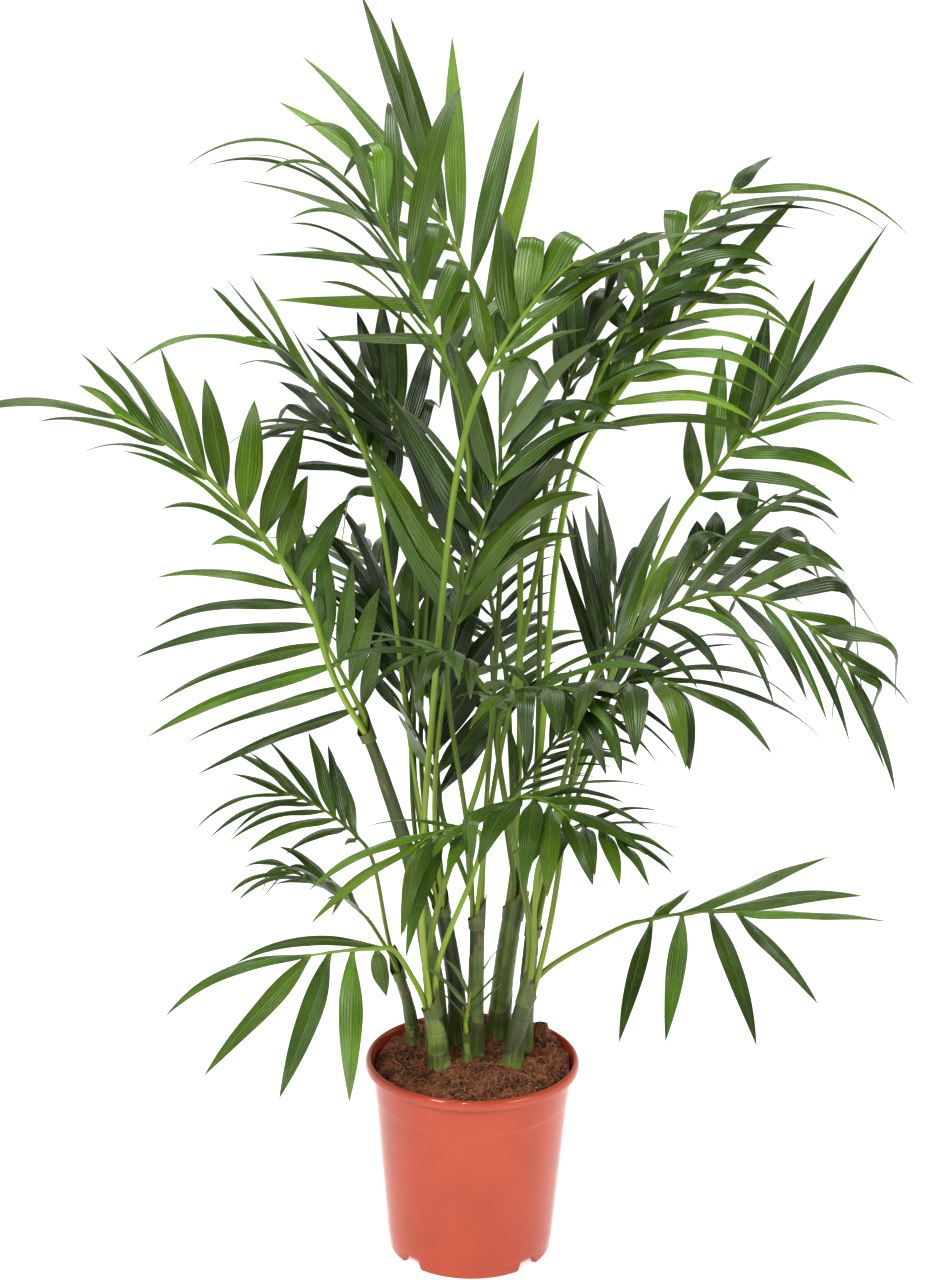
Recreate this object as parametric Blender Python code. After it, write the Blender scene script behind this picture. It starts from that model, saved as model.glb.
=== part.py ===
"""A clumping palm in a round nursery pot. Units are metres and +Z is up.

The origin is the centre of the pot's flat underside, and the side that is seen first faces -Y.
Leaf-sheath canes stand in the soil. Each holds the stalks of a few fronds, and every stalk ends at
the throat of its blade: a tapering rib with pairs of leaflets, cut to the rib between them. The
young fronds are whole: one piece with their stalk.
"""

import math
import random
from dataclasses import dataclass

import bmesh
import bpy
import numpy as np
from mathutils.bvhtree import BVHTree

# The clear space between two pieces that touch on the real plant.
GAP = 0.0003
PLANT_EMPTY = "cat_palm"
DOWN = np.array([0.0, 0.0, -1.0])

# The pot: a 24 cm injection-moulded nursery pot with a rolled lip and a notched foot ring.
RIM_RADIUS = 0.120
RIM_HEIGHT = 0.2275
LIP_DEPTH = 0.0115
LIP_INNER_RADIUS = 0.1130
NECK_RADIUS = 0.1116
BAND_HEIGHT = 0.183
BAND_STEP = 0.0007
FOOT_RADIUS = 0.0920
FOOT_HEIGHT = 0.012
FOOT_STEP = 0.0009
WALL = 0.0022
RING_WIDTH = 0.0060
PAD_RADIUS = 0.062
POT_SEGMENTS = 48
NOTCHES = 4
NOTCH_TOP_WIDTH = 0.020
NOTCH_FOOT_WIDTH = 0.027
NOTCH_HEIGHT = 0.0095
NOTCH_OVERRUN = 0.004
EDGE_SOFT = 0.0010
FOLD_ANGLE = 38
ROUND_ANGLE = 60

# The soil fills the pot to a plateau just under the lip.
SOIL_TOP = 0.2160
SOIL_EDGE_DROP = 0.0045
SOIL_EDGE_WIDTH = 0.014

# Canes, stalks and ribs.
CANE_SIDES = 10
CANE_RINGS = 5
FOOT_FLARE = 1.22
STALK_SIDES = 6
STALK_RINGS = 7
STALK_RISE = 0.30
STALK_EASE = 0.18
STALK_SHIFTS = (0.015, 0.030, 0.050)
SEAT_MARGIN = 0.0006
RIB_HALF_WIDTH = 0.0030
RIB_HALF_HEIGHT = 0.0026
RIB_STALK = 0.0036
RIB_TIP_SHARE = 0.42
RIB_TEST_RINGS = 8
RIB_TEST_RADIUS = 0.0050
PAIR_CLOSING = 0.12

# Leaflets. Their line is worked out in steps, and two of the steps are rings of the solid.
LEAF_STEPS = 12
LEAF_RINGS = (4, 8)
BASE_HALF_LENGTH = 0.0050
THICK_SHARE = 0.0110
WIDEST_SHARE = 0.35
ROOT_WIDTH_SHARE = 0.25
FALL_PACE = 1.6
CREASE_PARTS = (0.3, 0.4, 0.3)
FALL_LEAN = 0.35
LIT_SHARE = 0.4
LIGHT_TURN = 1.4
LEAF_DARK = (0.022, 0.060, 0.014)
LEAF_LIGHT = (0.060, 0.150, 0.022)

# The room that is kept round a piece, and the other ways that a leaflet may take.
TEST_MARGIN = 0.0007
TEST_START = 0.004
LEAF_TRIES = (
    # lift change, spread change (degrees), length share
    (0, 0, 1.00), (12, 0, 1.00), (-12, 0, 1.00), (0, 9, 1.00), (0, -9, 1.00), (24, 0, 1.00),
    (-24, 0, 1.00), (12, 9, 0.92), (-12, -9, 0.92), (12, -9, 0.85), (-12, 9, 0.85),
    (38, 0, 0.85), (-38, 0, 0.85), (0, 16, 0.75), (0, -16, 0.75), (20, 0, 0.6), (-20, 0, 0.6),
    (0, 0, 0.45), (30, 10, 0.4), (-30, -10, 0.4),
)


@dataclass(frozen=True)
class Cane:
    """A stem of nested leaf sheaths, from its flat cut on the soil to the mouth of its sheath."""

    name: str
    foot: tuple
    top: tuple
    foot_radius: float
    top_radius: float


@dataclass(frozen=True)
class Side:
    """How the leaflets of one side leave the rib. Angles are in degrees.

    Close is the share of the spread that is left at the tip of the rib, base and tip are the
    shares of the full length at its two ends, crease is the share of leaflets that fold over,
    and wide is the share of the frond's full leaflet width.
    """

    spread: float = 50.0
    close: float = 0.45
    lift: float = 8.0
    fall: float = 0.7
    crease: float = 0.1
    size: float = 1.0
    wide: float = 1.0
    base: float = 0.75
    tip: float = 0.65


@dataclass(frozen=True)
class Frond:
    """A stalk and its blade. The rib runs from the throat to the tip."""

    name: str
    cane: str
    throat: tuple
    tip: tuple
    bow: float = 0.03
    sway: float = 0.0
    roll: float = 0.0
    pairs: int = 8
    leaf: float = 0.18
    width: float = 0.026
    stalk: float = 0.0036
    whole: bool = False
    light: float = 0.5
    left: Side = Side()
    right: Side = Side()


CANES = (
    Cane("cane_front_left", (-0.037, -0.012), (-0.045, -0.012, 0.285), 0.0115, 0.0100),
    Cane("cane_back_left", (-0.068, 0.052), (-0.084, 0.054, 0.300), 0.0072, 0.0068),
    Cane("cane_main_left", (-0.040, 0.024), (-0.118, 0.000, 0.600), 0.0105, 0.0080),
    Cane("cane_inner_left", (-0.016, 0.046), (-0.036, 0.040, 0.385), 0.0105, 0.0090),
    Cane("cane_centre", (0.003, 0.022), (0.003, 0.026, 0.375), 0.0092, 0.0088),
    Cane("cane_back_centre", (0.030, 0.064), (0.044, 0.064, 0.372), 0.0125, 0.0118),
    Cane("cane_front_right", (0.045, -0.004), (0.058, -0.002, 0.296), 0.0112, 0.0098),
    Cane("cane_back_right", (0.058, 0.038), (0.066, 0.042, 0.360), 0.0095, 0.0088),
    Cane("cane_sucker", (-0.006, 0.000), (-0.007, -0.002, 0.252), 0.0050, 0.0042),
)

FRONDS = (
    # The left of the crown.
    Frond("great_left", "cane_main_left", (-0.185, -0.020, 0.765), (-0.370, -0.080, 0.962),
          bow=0.050, roll=48, pairs=10, leaf=0.170, width=0.027, stalk=0.0046, light=0.55,
          left=Side(spread=10, close=1.0, lift=2, fall=0.9, crease=0.0, size=0.9, wide=0.85, base=0.15,
                    tip=1.1),
          right=Side(spread=84, close=-0.05, lift=5, fall=0.3, crease=0.0, size=0.85, wide=1.1,
                     base=0.95, tip=0.55)),
    Frond("back_left", "cane_main_left", (-0.122, 0.000, 0.622), (-0.200, 0.030, 0.760),
          bow=0.005, roll=60, pairs=7, leaf=0.205, width=0.024,
          left=Side(spread=78, close=0.6, lift=5, fall=0.5, crease=0.0, wide=0.8, base=0.95, tip=0.75),
          right=Side(spread=40, close=0.5, lift=10, fall=0.3, crease=0.0, size=0.6)),
    Frond("high_left", "cane_inner_left", (-0.145, 0.060, 0.938), (-0.220, 0.005, 1.022),
          bow=0.012, roll=50, pairs=6, leaf=0.150, width=0.023, stalk=0.0038, light=0.6,
          left=Side(spread=20, close=0.9, lift=12, fall=0.8, crease=0.0, size=1.1, base=0.4, tip=1.2),
          right=Side(spread=20, close=0.4, lift=8, fall=0.05, crease=0.0, size=0.85, tip=0.8)),
    Frond("fan_left", "cane_inner_left", (-0.090, 0.100, 0.840), (-0.180, 0.135, 0.920),
          bow=0.030, roll=20, pairs=6, leaf=0.150, whole=True, light=0.2,
          left=Side(spread=55, close=0.5, lift=5, fall=0.7), right=Side(spread=45, lift=10, fall=0.4)),
    Frond("back_dark", "cane_inner_left", (-0.074, 0.130, 0.875), (-0.120, 0.170, 0.960),
          bow=0.005, roll=30, pairs=6, leaf=0.140, width=0.022, whole=True, light=0.1,
          left=Side(spread=34, lift=10, fall=0.1), right=Side(spread=40, lift=10, fall=0.1)),
    # The top of the crown.
    Frond("crown_front", "cane_inner_left", (-0.026, -0.030, 0.985), (-0.111, -0.080, 1.176),
          bow=0.015, roll=62, pairs=8, leaf=0.230, width=0.027, stalk=0.0042,
          left=Side(spread=25, close=1.0, lift=8, fall=0.9, crease=0.0, size=1.15, wide=0.6,
                    base=0.9, tip=0.95),
          right=Side(spread=70, close=0.35, lift=8, fall=1.3, crease=0.35, base=1.05, tip=0.55)),
    Frond("crown_back", "cane_back_centre", (0.019, 0.080, 1.008), (-0.061, 0.145, 1.170),
          bow=0.010, roll=62, pairs=6, leaf=0.245, width=0.028, stalk=0.0042, light=0.6,
          left=Side(spread=66, close=0.15, lift=5, fall=0.2, crease=0.0, size=1.05, base=0.75, tip=0.9),
          right=Side(spread=47, close=0.18, lift=5, fall=0.05, crease=0.0, size=0.95, tip=1.05)),
    Frond("crown_inner_right", "cane_front_left", (0.004, -0.048, 1.000), (0.098, -0.010, 1.115),
          bow=0.030, roll=-40, pairs=8, leaf=0.150, width=0.030, stalk=0.0040,
          left=Side(spread=40, close=0.5, lift=8, fall=0.5, crease=0.35),
          right=Side(spread=30, close=0.6, lift=5, fall=0.5, crease=0.2, tip=0.9)),
    Frond("centre_front", "cane_centre", (-0.028, -0.035, 0.728), (0.026, -0.018, 0.914),
          bow=0.010, roll=-68, pairs=7, leaf=0.190, width=0.032, light=0.25,
          left=Side(spread=46, close=0.5, lift=5, fall=0.15, crease=0.0, base=1.0, tip=0.9),
          right=Side(spread=14, close=1.0, lift=8, fall=1.2, crease=0.1, base=0.9, tip=0.75)),
    Frond("centre_inner", "cane_centre", (0.022, 0.010, 0.800), (0.018, -0.045, 1.005),
          bow=0.035, roll=0, pairs=8, leaf=0.170, width=0.030, light=0.2,
          left=Side(spread=38, lift=12, fall=0.5, crease=0.2),
          right=Side(spread=38, lift=12, fall=0.6, crease=0.3)),
    Frond("centre_dark", "cane_centre", (-0.040, 0.062, 0.505), (-0.058, 0.088, 0.665),
          bow=0.010, roll=0, pairs=8, leaf=0.190, width=0.031, whole=True, light=0.08,
          left=Side(spread=40, close=0.4, lift=8, fall=0.5, base=1.0),
          right=Side(spread=44, close=0.4, lift=8, fall=0.5, base=1.0)),
    Frond("inner_right", "cane_back_centre", (0.086, 0.060, 0.956), (0.129, 0.050, 1.070),
          bow=0.010, roll=-40, pairs=7, leaf=0.120, width=0.024, whole=True, light=0.2,
          left=Side(spread=40, lift=8, fall=0.5, crease=0.4),
          right=Side(spread=30, lift=8, fall=0.4, crease=0.2)),
    # The right of the crown.
    Frond("high_right", "cane_centre", (0.099, 0.030, 0.932), (0.268, 0.110, 1.180),
          bow=0.075, roll=-50, pairs=10, leaf=0.130, width=0.026, stalk=0.0044, light=0.45,
          left=Side(spread=74, close=0.15, lift=8, fall=0.6, crease=0.75, size=0.85, tip=0.65),
          right=Side(spread=30, close=1.0, lift=5, fall=1.1, crease=0.0, base=0.35, tip=1.65)),
    Frond("right_back", "cane_back_centre", (0.117, 0.030, 0.928), (0.270, 0.080, 1.100),
          bow=0.035, roll=-48, pairs=9, leaf=0.150, width=0.029, stalk=0.0040, light=0.75,
          left=Side(spread=34, close=0.2, lift=8, fall=0.05, crease=0.0, size=0.95, base=0.8, tip=1.1),
          right=Side(spread=48, close=0.5, lift=2, fall=1.3, crease=0.0, wide=0.75, base=1.25, tip=0.25)),
    Frond("far_right", "cane_back_right", (0.235, 0.140, 0.836), (0.330, 0.168, 0.945),
          bow=0.004, roll=-45, pairs=6, leaf=0.165, width=0.026, stalk=0.0040, light=0.55,
          left=Side(spread=42, close=0.3, lift=8, fall=0.1, crease=0.0, size=0.85, base=0.65, tip=1.8),
          right=Side(spread=58, close=0.25, lift=5, fall=1.0, crease=0.0, size=0.9, base=0.6, tip=1.15)),
    Frond("great_right", "cane_back_right", (0.135, -0.030, 0.695), (0.378, -0.150, 0.722),
          bow=0.155, roll=-25, pairs=11, leaf=0.190, width=0.028, stalk=0.0046, light=0.35,
          left=Side(spread=46, close=0.7, lift=22, fall=0.8, crease=0.75, size=1.1, base=0.7, tip=0.45),
          right=Side(spread=50, close=0.4, lift=-5, fall=1.2, crease=0.0, size=0.85, wide=0.5,
                     base=0.9, tip=0.8)),
    Frond("upper_right", "cane_back_right", (0.220, 0.110, 0.742), (0.335, 0.180, 0.835),
          bow=0.015, roll=-30, pairs=7, leaf=0.130, light=0.2,
          left=Side(spread=30, lift=10, fall=0.5, crease=0.1, size=0.5),
          right=Side(spread=62, close=0.7, lift=5, fall=1.3, crease=0.1)),
    # The middle of the plant.
    Frond("mid_left", "cane_inner_left", (-0.075, 0.080, 0.590), (-0.100, 0.115, 0.740),
          bow=0.010, roll=20, pairs=7, leaf=0.170, width=0.024, whole=True, light=0.15,
          left=Side(spread=34, lift=10, fall=0.4), right=Side(spread=30, lift=10, fall=0.3)),
    Frond("comb_back", "cane_back_centre", (0.025, 0.100, 0.680), (0.010, 0.190, 0.830),
          bow=0.010, sway=0.020, roll=0, pairs=10, leaf=0.110, width=0.012, whole=True, light=0.15,
          left=Side(spread=50, close=0.7, lift=5, fall=0.5, crease=0.0),
          right=Side(spread=50, close=0.8, lift=10, fall=0.9, crease=0.0)),
    Frond("comb_right", "cane_back_centre", (0.040, 0.026, 0.525), (0.112, 0.068, 0.600),
          bow=0.010, roll=-30, pairs=8, leaf=0.110, width=0.013, whole=True, light=0.15,
          left=Side(spread=34, close=0.7, lift=5, fall=0.4, crease=0.0),
          right=Side(spread=34, close=0.7, lift=5, fall=0.8, crease=0.0)),
    Frond("low_front_left", "cane_front_left", (0.010, -0.030, 0.660), (-0.054, -0.120, 0.728),
          bow=0.030, roll=0, pairs=6, leaf=0.150, width=0.022, whole=True, light=0.45,
          left=Side(spread=48, lift=5, fall=1.4, crease=0.0), right=Side(spread=40, lift=10, fall=0.9)),
    Frond("back_low", "cane_back_centre", (0.020, 0.130, 0.580), (0.010, 0.330, 0.640),
          bow=0.060, roll=0, pairs=8, leaf=0.160, width=0.022, whole=True, light=0.25,
          left=Side(spread=55, lift=5, fall=0.7), right=Side(spread=55, lift=5, fall=0.7)),
    Frond("back_low_left", "cane_inner_left", (-0.060, 0.140, 0.640), (-0.150, 0.310, 0.740),
          bow=0.040, roll=0, pairs=8, leaf=0.160, width=0.022, whole=True, light=0.25,
          left=Side(spread=50, lift=10, fall=0.6), right=Side(spread=50, lift=10, fall=0.6)),
    Frond("back_low_right", "cane_back_right", (0.148, 0.130, 0.606), (0.160, 0.250, 0.716),
          bow=0.020, roll=0, pairs=7, leaf=0.205, width=0.022, whole=True, light=0.15,
          left=Side(spread=18, close=0.9, lift=18, fall=0.1, base=1.0, tip=0.8),
          right=Side(spread=18, close=0.9, lift=14, fall=0.2)),
    Frond("front_right", "cane_front_right", (0.125, -0.070, 0.658), (0.198, -0.150, 0.705),
          bow=0.035, roll=0, pairs=6, leaf=0.195, width=0.034, light=0.35,
          left=Side(spread=36, close=0.7, lift=5, fall=1.5, crease=0.0),
          right=Side(spread=50, close=0.5, lift=0, fall=1.8, crease=0.0, size=0.9)),
    Frond("front_centre", "cane_front_right", (0.029, -0.050, 0.646), (0.118, -0.170, 0.690),
          bow=0.045, sway=-0.010, roll=0, pairs=7, leaf=0.160, width=0.024, light=0.35,
          left=Side(spread=45, lift=5, fall=1.0), right=Side(spread=45, lift=5, fall=1.2)),
    # The young fronds near the pot, each one piece with its stalk.
    Frond("low_right", "cane_front_right", (0.072, -0.038, 0.480), (0.150, -0.140, 0.535),
          bow=0.050, sway=-0.010, roll=0, pairs=6, leaf=0.105, width=0.019, stalk=0.0030, whole=True,
          left=Side(spread=42, lift=10, fall=0.7), right=Side(spread=50, lift=0, fall=1.0)),
    Frond("young_right", "cane_front_right", (0.182, -0.030, 0.402), (0.288, -0.055, 0.424),
          bow=0.010, roll=-10, pairs=4, leaf=0.175, width=0.028, stalk=0.0032, whole=True, light=0.45,
          left=Side(spread=40, close=0.2, lift=8, fall=0.1, crease=0.0, base=0.35, tip=0.95),
          right=Side(spread=105, close=0.42, lift=-20, fall=0.4, crease=0.0, wide=0.8, base=0.8, tip=0.75)),
    Frond("low_centre", "cane_centre", (0.018, -0.045, 0.528), (0.095, -0.145, 0.560),
          bow=0.045, sway=-0.010, roll=0, pairs=6, leaf=0.140, width=0.028, stalk=0.0030,
          whole=True, light=0.6,
          left=Side(spread=45, lift=5, fall=0.8, crease=0.0),
          right=Side(spread=70, close=0.4, lift=0, fall=1.3, base=0.95)),
    Frond("low_left", "cane_front_left", (0.000, -0.045, 0.510), (-0.064, -0.120, 0.516),
          bow=0.020, roll=0, pairs=5, leaf=0.170, width=0.022, stalk=0.0030, whole=True, light=0.7,
          left=Side(spread=34, close=0.8, lift=0, fall=1.0, crease=0.0),
          right=Side(spread=18, lift=5, fall=0.5, crease=0.0, tip=0.9)),
    Frond("young_left", "cane_front_left", (-0.094, -0.065, 0.381), (-0.178, -0.122, 0.394),
          bow=0.004, roll=58, pairs=4, leaf=0.165, width=0.028, stalk=0.0032, whole=True, light=0.65,
          left=Side(spread=105, close=0.32, lift=0, fall=0.3, crease=0.0, base=0.3, tip=1.1),
          right=Side(spread=8, close=-0.6, lift=-12, fall=0.9, crease=0.0, wide=0.7, base=1.0, tip=1.0)),
    Frond("sucker", "cane_sucker", (-0.008, -0.004, 0.268), (-0.003, -0.018, 0.312),
          bow=0.000, roll=0, pairs=3, leaf=0.075, width=0.010, stalk=0.0026, whole=True, light=0.8,
          left=Side(spread=60, lift=30, fall=0.5, crease=0.0, base=0.9, tip=0.9),
          right=Side(spread=60, lift=30, fall=0.5, crease=0.0, base=0.9, tip=0.9)),
    Frond("side_left", "cane_back_left", (-0.120, 0.015, 0.385), (-0.205, -0.025, 0.452),
          bow=0.022, roll=10, pairs=7, leaf=0.125, width=0.016, stalk=0.0028, whole=True, light=0.35,
          left=Side(spread=32, lift=10, fall=0.8, crease=0.05),
          right=Side(spread=50, lift=15, fall=1.0, crease=0.4, size=0.75)),
    Frond("side_left_upper", "cane_back_left", (-0.125, 0.060, 0.455), (-0.212, 0.040, 0.520),
          bow=0.020, roll=30, pairs=7, leaf=0.130, width=0.020, stalk=0.0028, whole=True, light=0.4,
          left=Side(spread=50, lift=5, fall=0.9, crease=0.0, size=1.1, wide=0.7, base=0.2, tip=0.85),
          right=Side(spread=50, close=0.3, lift=10, fall=0.3, crease=0.0, size=0.85, base=0.8)),
)


def unit(vector):
    """The vector at length one."""
    return vector / np.linalg.norm(vector)


def clear_scene():
    """Removes every object that the scene starts with."""
    for thing in list(bpy.data.objects):
        bpy.data.objects.remove(thing)


def material(name, colour, roughness, metallic=0.0):
    """A Principled material of one colour."""
    made = bpy.data.materials.new(name)
    made.use_nodes = True
    shader = made.node_tree.nodes["Principled BSDF"]
    shader.inputs["Base Color"].default_value = (*colour, 1.0)
    shader.inputs["Roughness"].default_value = roughness
    shader.inputs["Metallic"].default_value = metallic
    return made


def mixed(dark, light, share):
    """A colour between two others."""
    return tuple(a + (b - a) * share for a, b in zip(dark, light))


def add_object(name, points, faces, place, finish, smooth_angle):
    """One closed object with its origin at its place and its faces turned outwards."""
    origin = np.asarray(place, float)
    mesh = bpy.data.meshes.new(name)
    mesh.from_pydata([tuple(map(float, p - origin)) for p in np.asarray(points)], [],
                     [tuple(face) for face in faces])
    shape = bmesh.new()
    shape.from_mesh(mesh)
    bmesh.ops.recalc_face_normals(shape, faces=shape.faces)
    shape.to_mesh(mesh)
    shape.free()
    mesh.materials.append(finish)
    mesh.shade_smooth()
    mesh.set_sharp_from_angle(angle=math.radians(smooth_angle))
    made = bpy.data.objects.new(name, mesh)
    made.location = origin
    made.parent = bpy.data.objects[PLANT_EMPTY]
    bpy.context.scene.collection.objects.link(made)
    return made


def bezier(controls, steps):
    """Points on the Bezier curve of any number of control points, by de Casteljau's rule."""
    t = np.linspace(0.0, 1.0, steps)[:, None, None]
    points = np.asarray(controls, float)[None]
    while points.shape[1] > 1:
        points = points[:, :-1] * (1 - t) + points[:, 1:] * t
    return points[:, 0]


def tangents(points):
    """The direction of travel at each point of a path."""
    steps = np.gradient(points, axis=0)
    return steps / np.linalg.norm(steps, axis=1)[:, None]


def rotate(vector, axis, angle):
    """The vector turned about an axis, by Rodrigues' rule."""
    return (vector * math.cos(angle) + np.cross(axis, vector) * math.sin(angle)
            + axis * (axis @ vector) * (1 - math.cos(angle)))


def turned(profile, segments):
    """Points and faces of a closed outline of (radius, height) turned round Z."""
    points, faces, rings = [], [], []
    for radius, height in profile:
        if radius == 0.0:
            rings.append([len(points)] * segments)
            points.append((0.0, 0.0, height))
            continue
        rings.append(list(range(len(points), len(points) + segments)))
        for k in range(segments):
            angle = 2 * math.pi * (k + 0.5) / segments
            points.append((radius * math.cos(angle), radius * math.sin(angle), height))
    for below, above in zip(rings, rings[1:]):
        for k in range(segments):
            around = (k + 1) % segments
            corners = [below[k], below[around], above[around], above[k]]
            faces.append(list(dict.fromkeys(corners)))
    return points, faces


def wall_radius(height):
    """The outside of the pot's wall at a height, on its straight taper."""
    share = (height - FOOT_HEIGHT) / (RIM_HEIGHT - LIP_DEPTH - FOOT_HEIGHT)
    start = FOOT_RADIUS + FOOT_STEP
    return start + (NECK_RADIUS - start) * share


def pot_profile():
    """The pot's half section, from the middle of its underside round the lip to its floor."""
    gutter = FOOT_HEIGHT - EDGE_SOFT
    lip_foot = RIM_HEIGHT - LIP_DEPTH
    shoulder = FOOT_HEIGHT + WALL + EDGE_SOFT
    return [
        (0.0, 0.0),
        (PAD_RADIUS, 0.0),
        (PAD_RADIUS + 2 * EDGE_SOFT, gutter),
        (FOOT_RADIUS - RING_WIDTH - EDGE_SOFT, gutter),
        (FOOT_RADIUS - RING_WIDTH, 0.0),
        (FOOT_RADIUS - FOOT_STEP, 0.0),
        (FOOT_RADIUS, FOOT_HEIGHT),
        (FOOT_RADIUS + FOOT_STEP, FOOT_HEIGHT + EDGE_SOFT),
        (wall_radius(BAND_HEIGHT) - BAND_STEP, BAND_HEIGHT - EDGE_SOFT),
        (wall_radius(BAND_HEIGHT), BAND_HEIGHT),
        (NECK_RADIUS, lip_foot + EDGE_SOFT),
        (RIM_RADIUS - EDGE_SOFT, lip_foot),
        (RIM_RADIUS, lip_foot + 4 * EDGE_SOFT),
        (RIM_RADIUS - EDGE_SOFT, RIM_HEIGHT - 2 * EDGE_SOFT),
        (RIM_RADIUS - 4 * EDGE_SOFT, RIM_HEIGHT),
        (LIP_INNER_RADIUS + EDGE_SOFT, RIM_HEIGHT - EDGE_SOFT),
        (LIP_INNER_RADIUS - EDGE_SOFT / 2, RIM_HEIGHT - 5 * EDGE_SOFT),
        (NECK_RADIUS - WALL, lip_foot - 4 * EDGE_SOFT),
        (FOOT_RADIUS + FOOT_STEP - WALL, shoulder),
        (PAD_RADIUS - WALL, shoulder - 2 * EDGE_SOFT),
        (PAD_RADIUS - WALL - 2 * EDGE_SOFT, WALL),
        (0.0, WALL),
    ]


def notch_cutter(index, finish):
    """A wedge that cuts one drain notch through the foot ring."""
    angle = math.pi / 4 + index * 2 * math.pi / NOTCHES
    inner = FOOT_RADIUS - RING_WIDTH - NOTCH_OVERRUN
    outer = FOOT_RADIUS + 2 * NOTCH_OVERRUN
    points = []
    for radius in (inner, outer):
        for side in (-1, 1):
            for height, width in ((-NOTCH_OVERRUN, NOTCH_FOOT_WIDTH), (NOTCH_HEIGHT, NOTCH_TOP_WIDTH)):
                across = side * width / 2
                x = radius * math.cos(angle) - across * math.sin(angle)
                y = radius * math.sin(angle) + across * math.cos(angle)
                points.append((x, y, height))
    faces = [(0, 1, 3, 2), (4, 5, 7, 6), (0, 1, 5, 4), (2, 3, 7, 6), (0, 2, 6, 4), (1, 3, 7, 5)]
    cutter = add_object(f"notch_cutter_{index}", points, faces, (0.0, 0.0, 0.0), finish, FOLD_ANGLE)
    cutter.hide_render = True
    cutter.display_type = "WIRE"
    return cutter


def build_pot():
    """The pot, turned from its section and notched at the foot."""
    finish = material("pot", (0.62, 0.14, 0.065), 0.38)
    points, faces = turned(pot_profile(), POT_SEGMENTS)
    pot = add_object("pot", points, faces, (0.0, 0.0, 0.0), finish, FOLD_ANGLE)
    for index in range(NOTCHES):
        cut = pot.modifiers.new(f"notch_{index}", "BOOLEAN")
        cut.operation = "DIFFERENCE"
        cut.object = notch_cutter(index, finish)


def build_soil():
    """The soil: a plug that keeps a gap to the pot, with a plateau and a sunk edge."""
    finish = material("soil", (0.050, 0.022, 0.014), 0.95)
    neck = NECK_RADIUS - WALL - 2 * GAP
    step = FOOT_HEIGHT + WALL + GAP
    profile = [
        (0.0, WALL + GAP),
        (PAD_RADIUS - WALL - 3 * EDGE_SOFT, WALL + GAP),
        (PAD_RADIUS - WALL - EDGE_SOFT, step),
        (FOOT_RADIUS + FOOT_STEP - WALL - 4 * GAP, step + EDGE_SOFT + GAP),
        (neck, RIM_HEIGHT - LIP_DEPTH - 5 * EDGE_SOFT),
        (neck, SOIL_TOP - SOIL_EDGE_DROP),
        (neck - SOIL_EDGE_WIDTH, SOIL_TOP),
        (0.0, SOIL_TOP),
    ]
    points, faces = turned(profile, POT_SEGMENTS)
    add_object("soil", points, faces, (0.0, 0.0, 0.0), finish, FOLD_ANGLE)


def ring(centre, forward, across, radius, sides):
    """A ring of points round a centre, square to forward."""
    side = unit(across - forward * (across @ forward))
    other = np.cross(forward, side)
    angles = 2 * math.pi * (np.arange(sides) + 0.5) / sides
    return centre + radius * (side * np.cos(angles)[:, None] + other * np.sin(angles)[:, None])


def tube(path, radii, sides, ends=(None, None)):
    """Points and faces of a closed tube along a path. Its flat ends may face given ways."""
    forward = tangents(path)
    for index, end in zip((0, -1), ends):
        if end is not None:
            forward[index] = end
    across = np.array([1.0, 0.0, 0.0])
    points = np.concatenate([
        ring(centre, ahead, across, radius, sides)
        for centre, ahead, radius in zip(path, forward, radii)
    ])
    faces = [tuple(reversed(range(sides)))]
    for k in range(len(path) - 1):
        for j in range(sides):
            a, b = k * sides + j, k * sides + (j + 1) % sides
            faces.append((a, b, b + sides, a + sides))
    last = (len(path) - 1) * sides
    faces.append(tuple(range(last, last + sides)))
    return points, faces


def tree_of(points, faces):
    """A search tree over the triangles of a piece."""
    triangles = []
    for face in faces:
        triangles.extend((face[0], face[k], face[k + 1]) for k in range(1, len(face) - 1))
    return BVHTree.FromPolygons([tuple(p) for p in points], triangles)


class Crowd:
    """Everything that is already placed, so that a new piece can be kept clear of it."""

    def __init__(self):
        self.lows, self.highs, self.trees, self.owners = [], [], [], []

    def add(self, points, faces, owner):
        """Takes in one placed piece."""
        self.lows.append(points.min(axis=0))
        self.highs.append(points.max(axis=0))
        self.trees.append(tree_of(points, faces))
        self.owners.append(owner)

    def clear(self, points, faces, own=()):
        """Whether a piece crosses nothing placed but what these owners have."""
        low, high = points.min(axis=0), points.max(axis=0)
        near = (np.asarray(self.lows) <= high).all(axis=1)
        near &= (np.asarray(self.highs) >= low).all(axis=1)
        tree = None
        for index in np.flatnonzero(near):
            if self.owners[index] in own:
                continue
            tree = tree or tree_of(points, faces)
            if tree.overlap(self.trees[index]):
                return False
        return True


def cane_path(cane):
    """The middle line of a cane, upright at the soil and leaning to its top."""
    foot = np.array([*cane.foot, SOIL_TOP + GAP])
    top = np.array(cane.top)
    upright = foot - DOWN * (top[2] - foot[2]) * 0.45
    return bezier([foot, upright, top], CANE_RINGS)


def build_cane(cane, crowd):
    """One cane: swollen at the foot and tapering to its mouth."""
    path = cane_path(cane)
    share = np.linspace(0.0, 1.0, CANE_RINGS)
    radii = cane.foot_radius + (cane.top_radius - cane.foot_radius) * share
    radii *= 1 + (FOOT_FLARE - 1) * (1 - share) ** 5
    points, faces = tube(path, radii, CANE_SIDES, (-DOWN, None))
    crowd.add(points, faces, cane.name)
    finish = material(cane.name, (0.085, 0.160, 0.035), 0.45)
    add_object(cane.name, points, faces, path[0], finish, ROUND_ANGLE)


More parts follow.
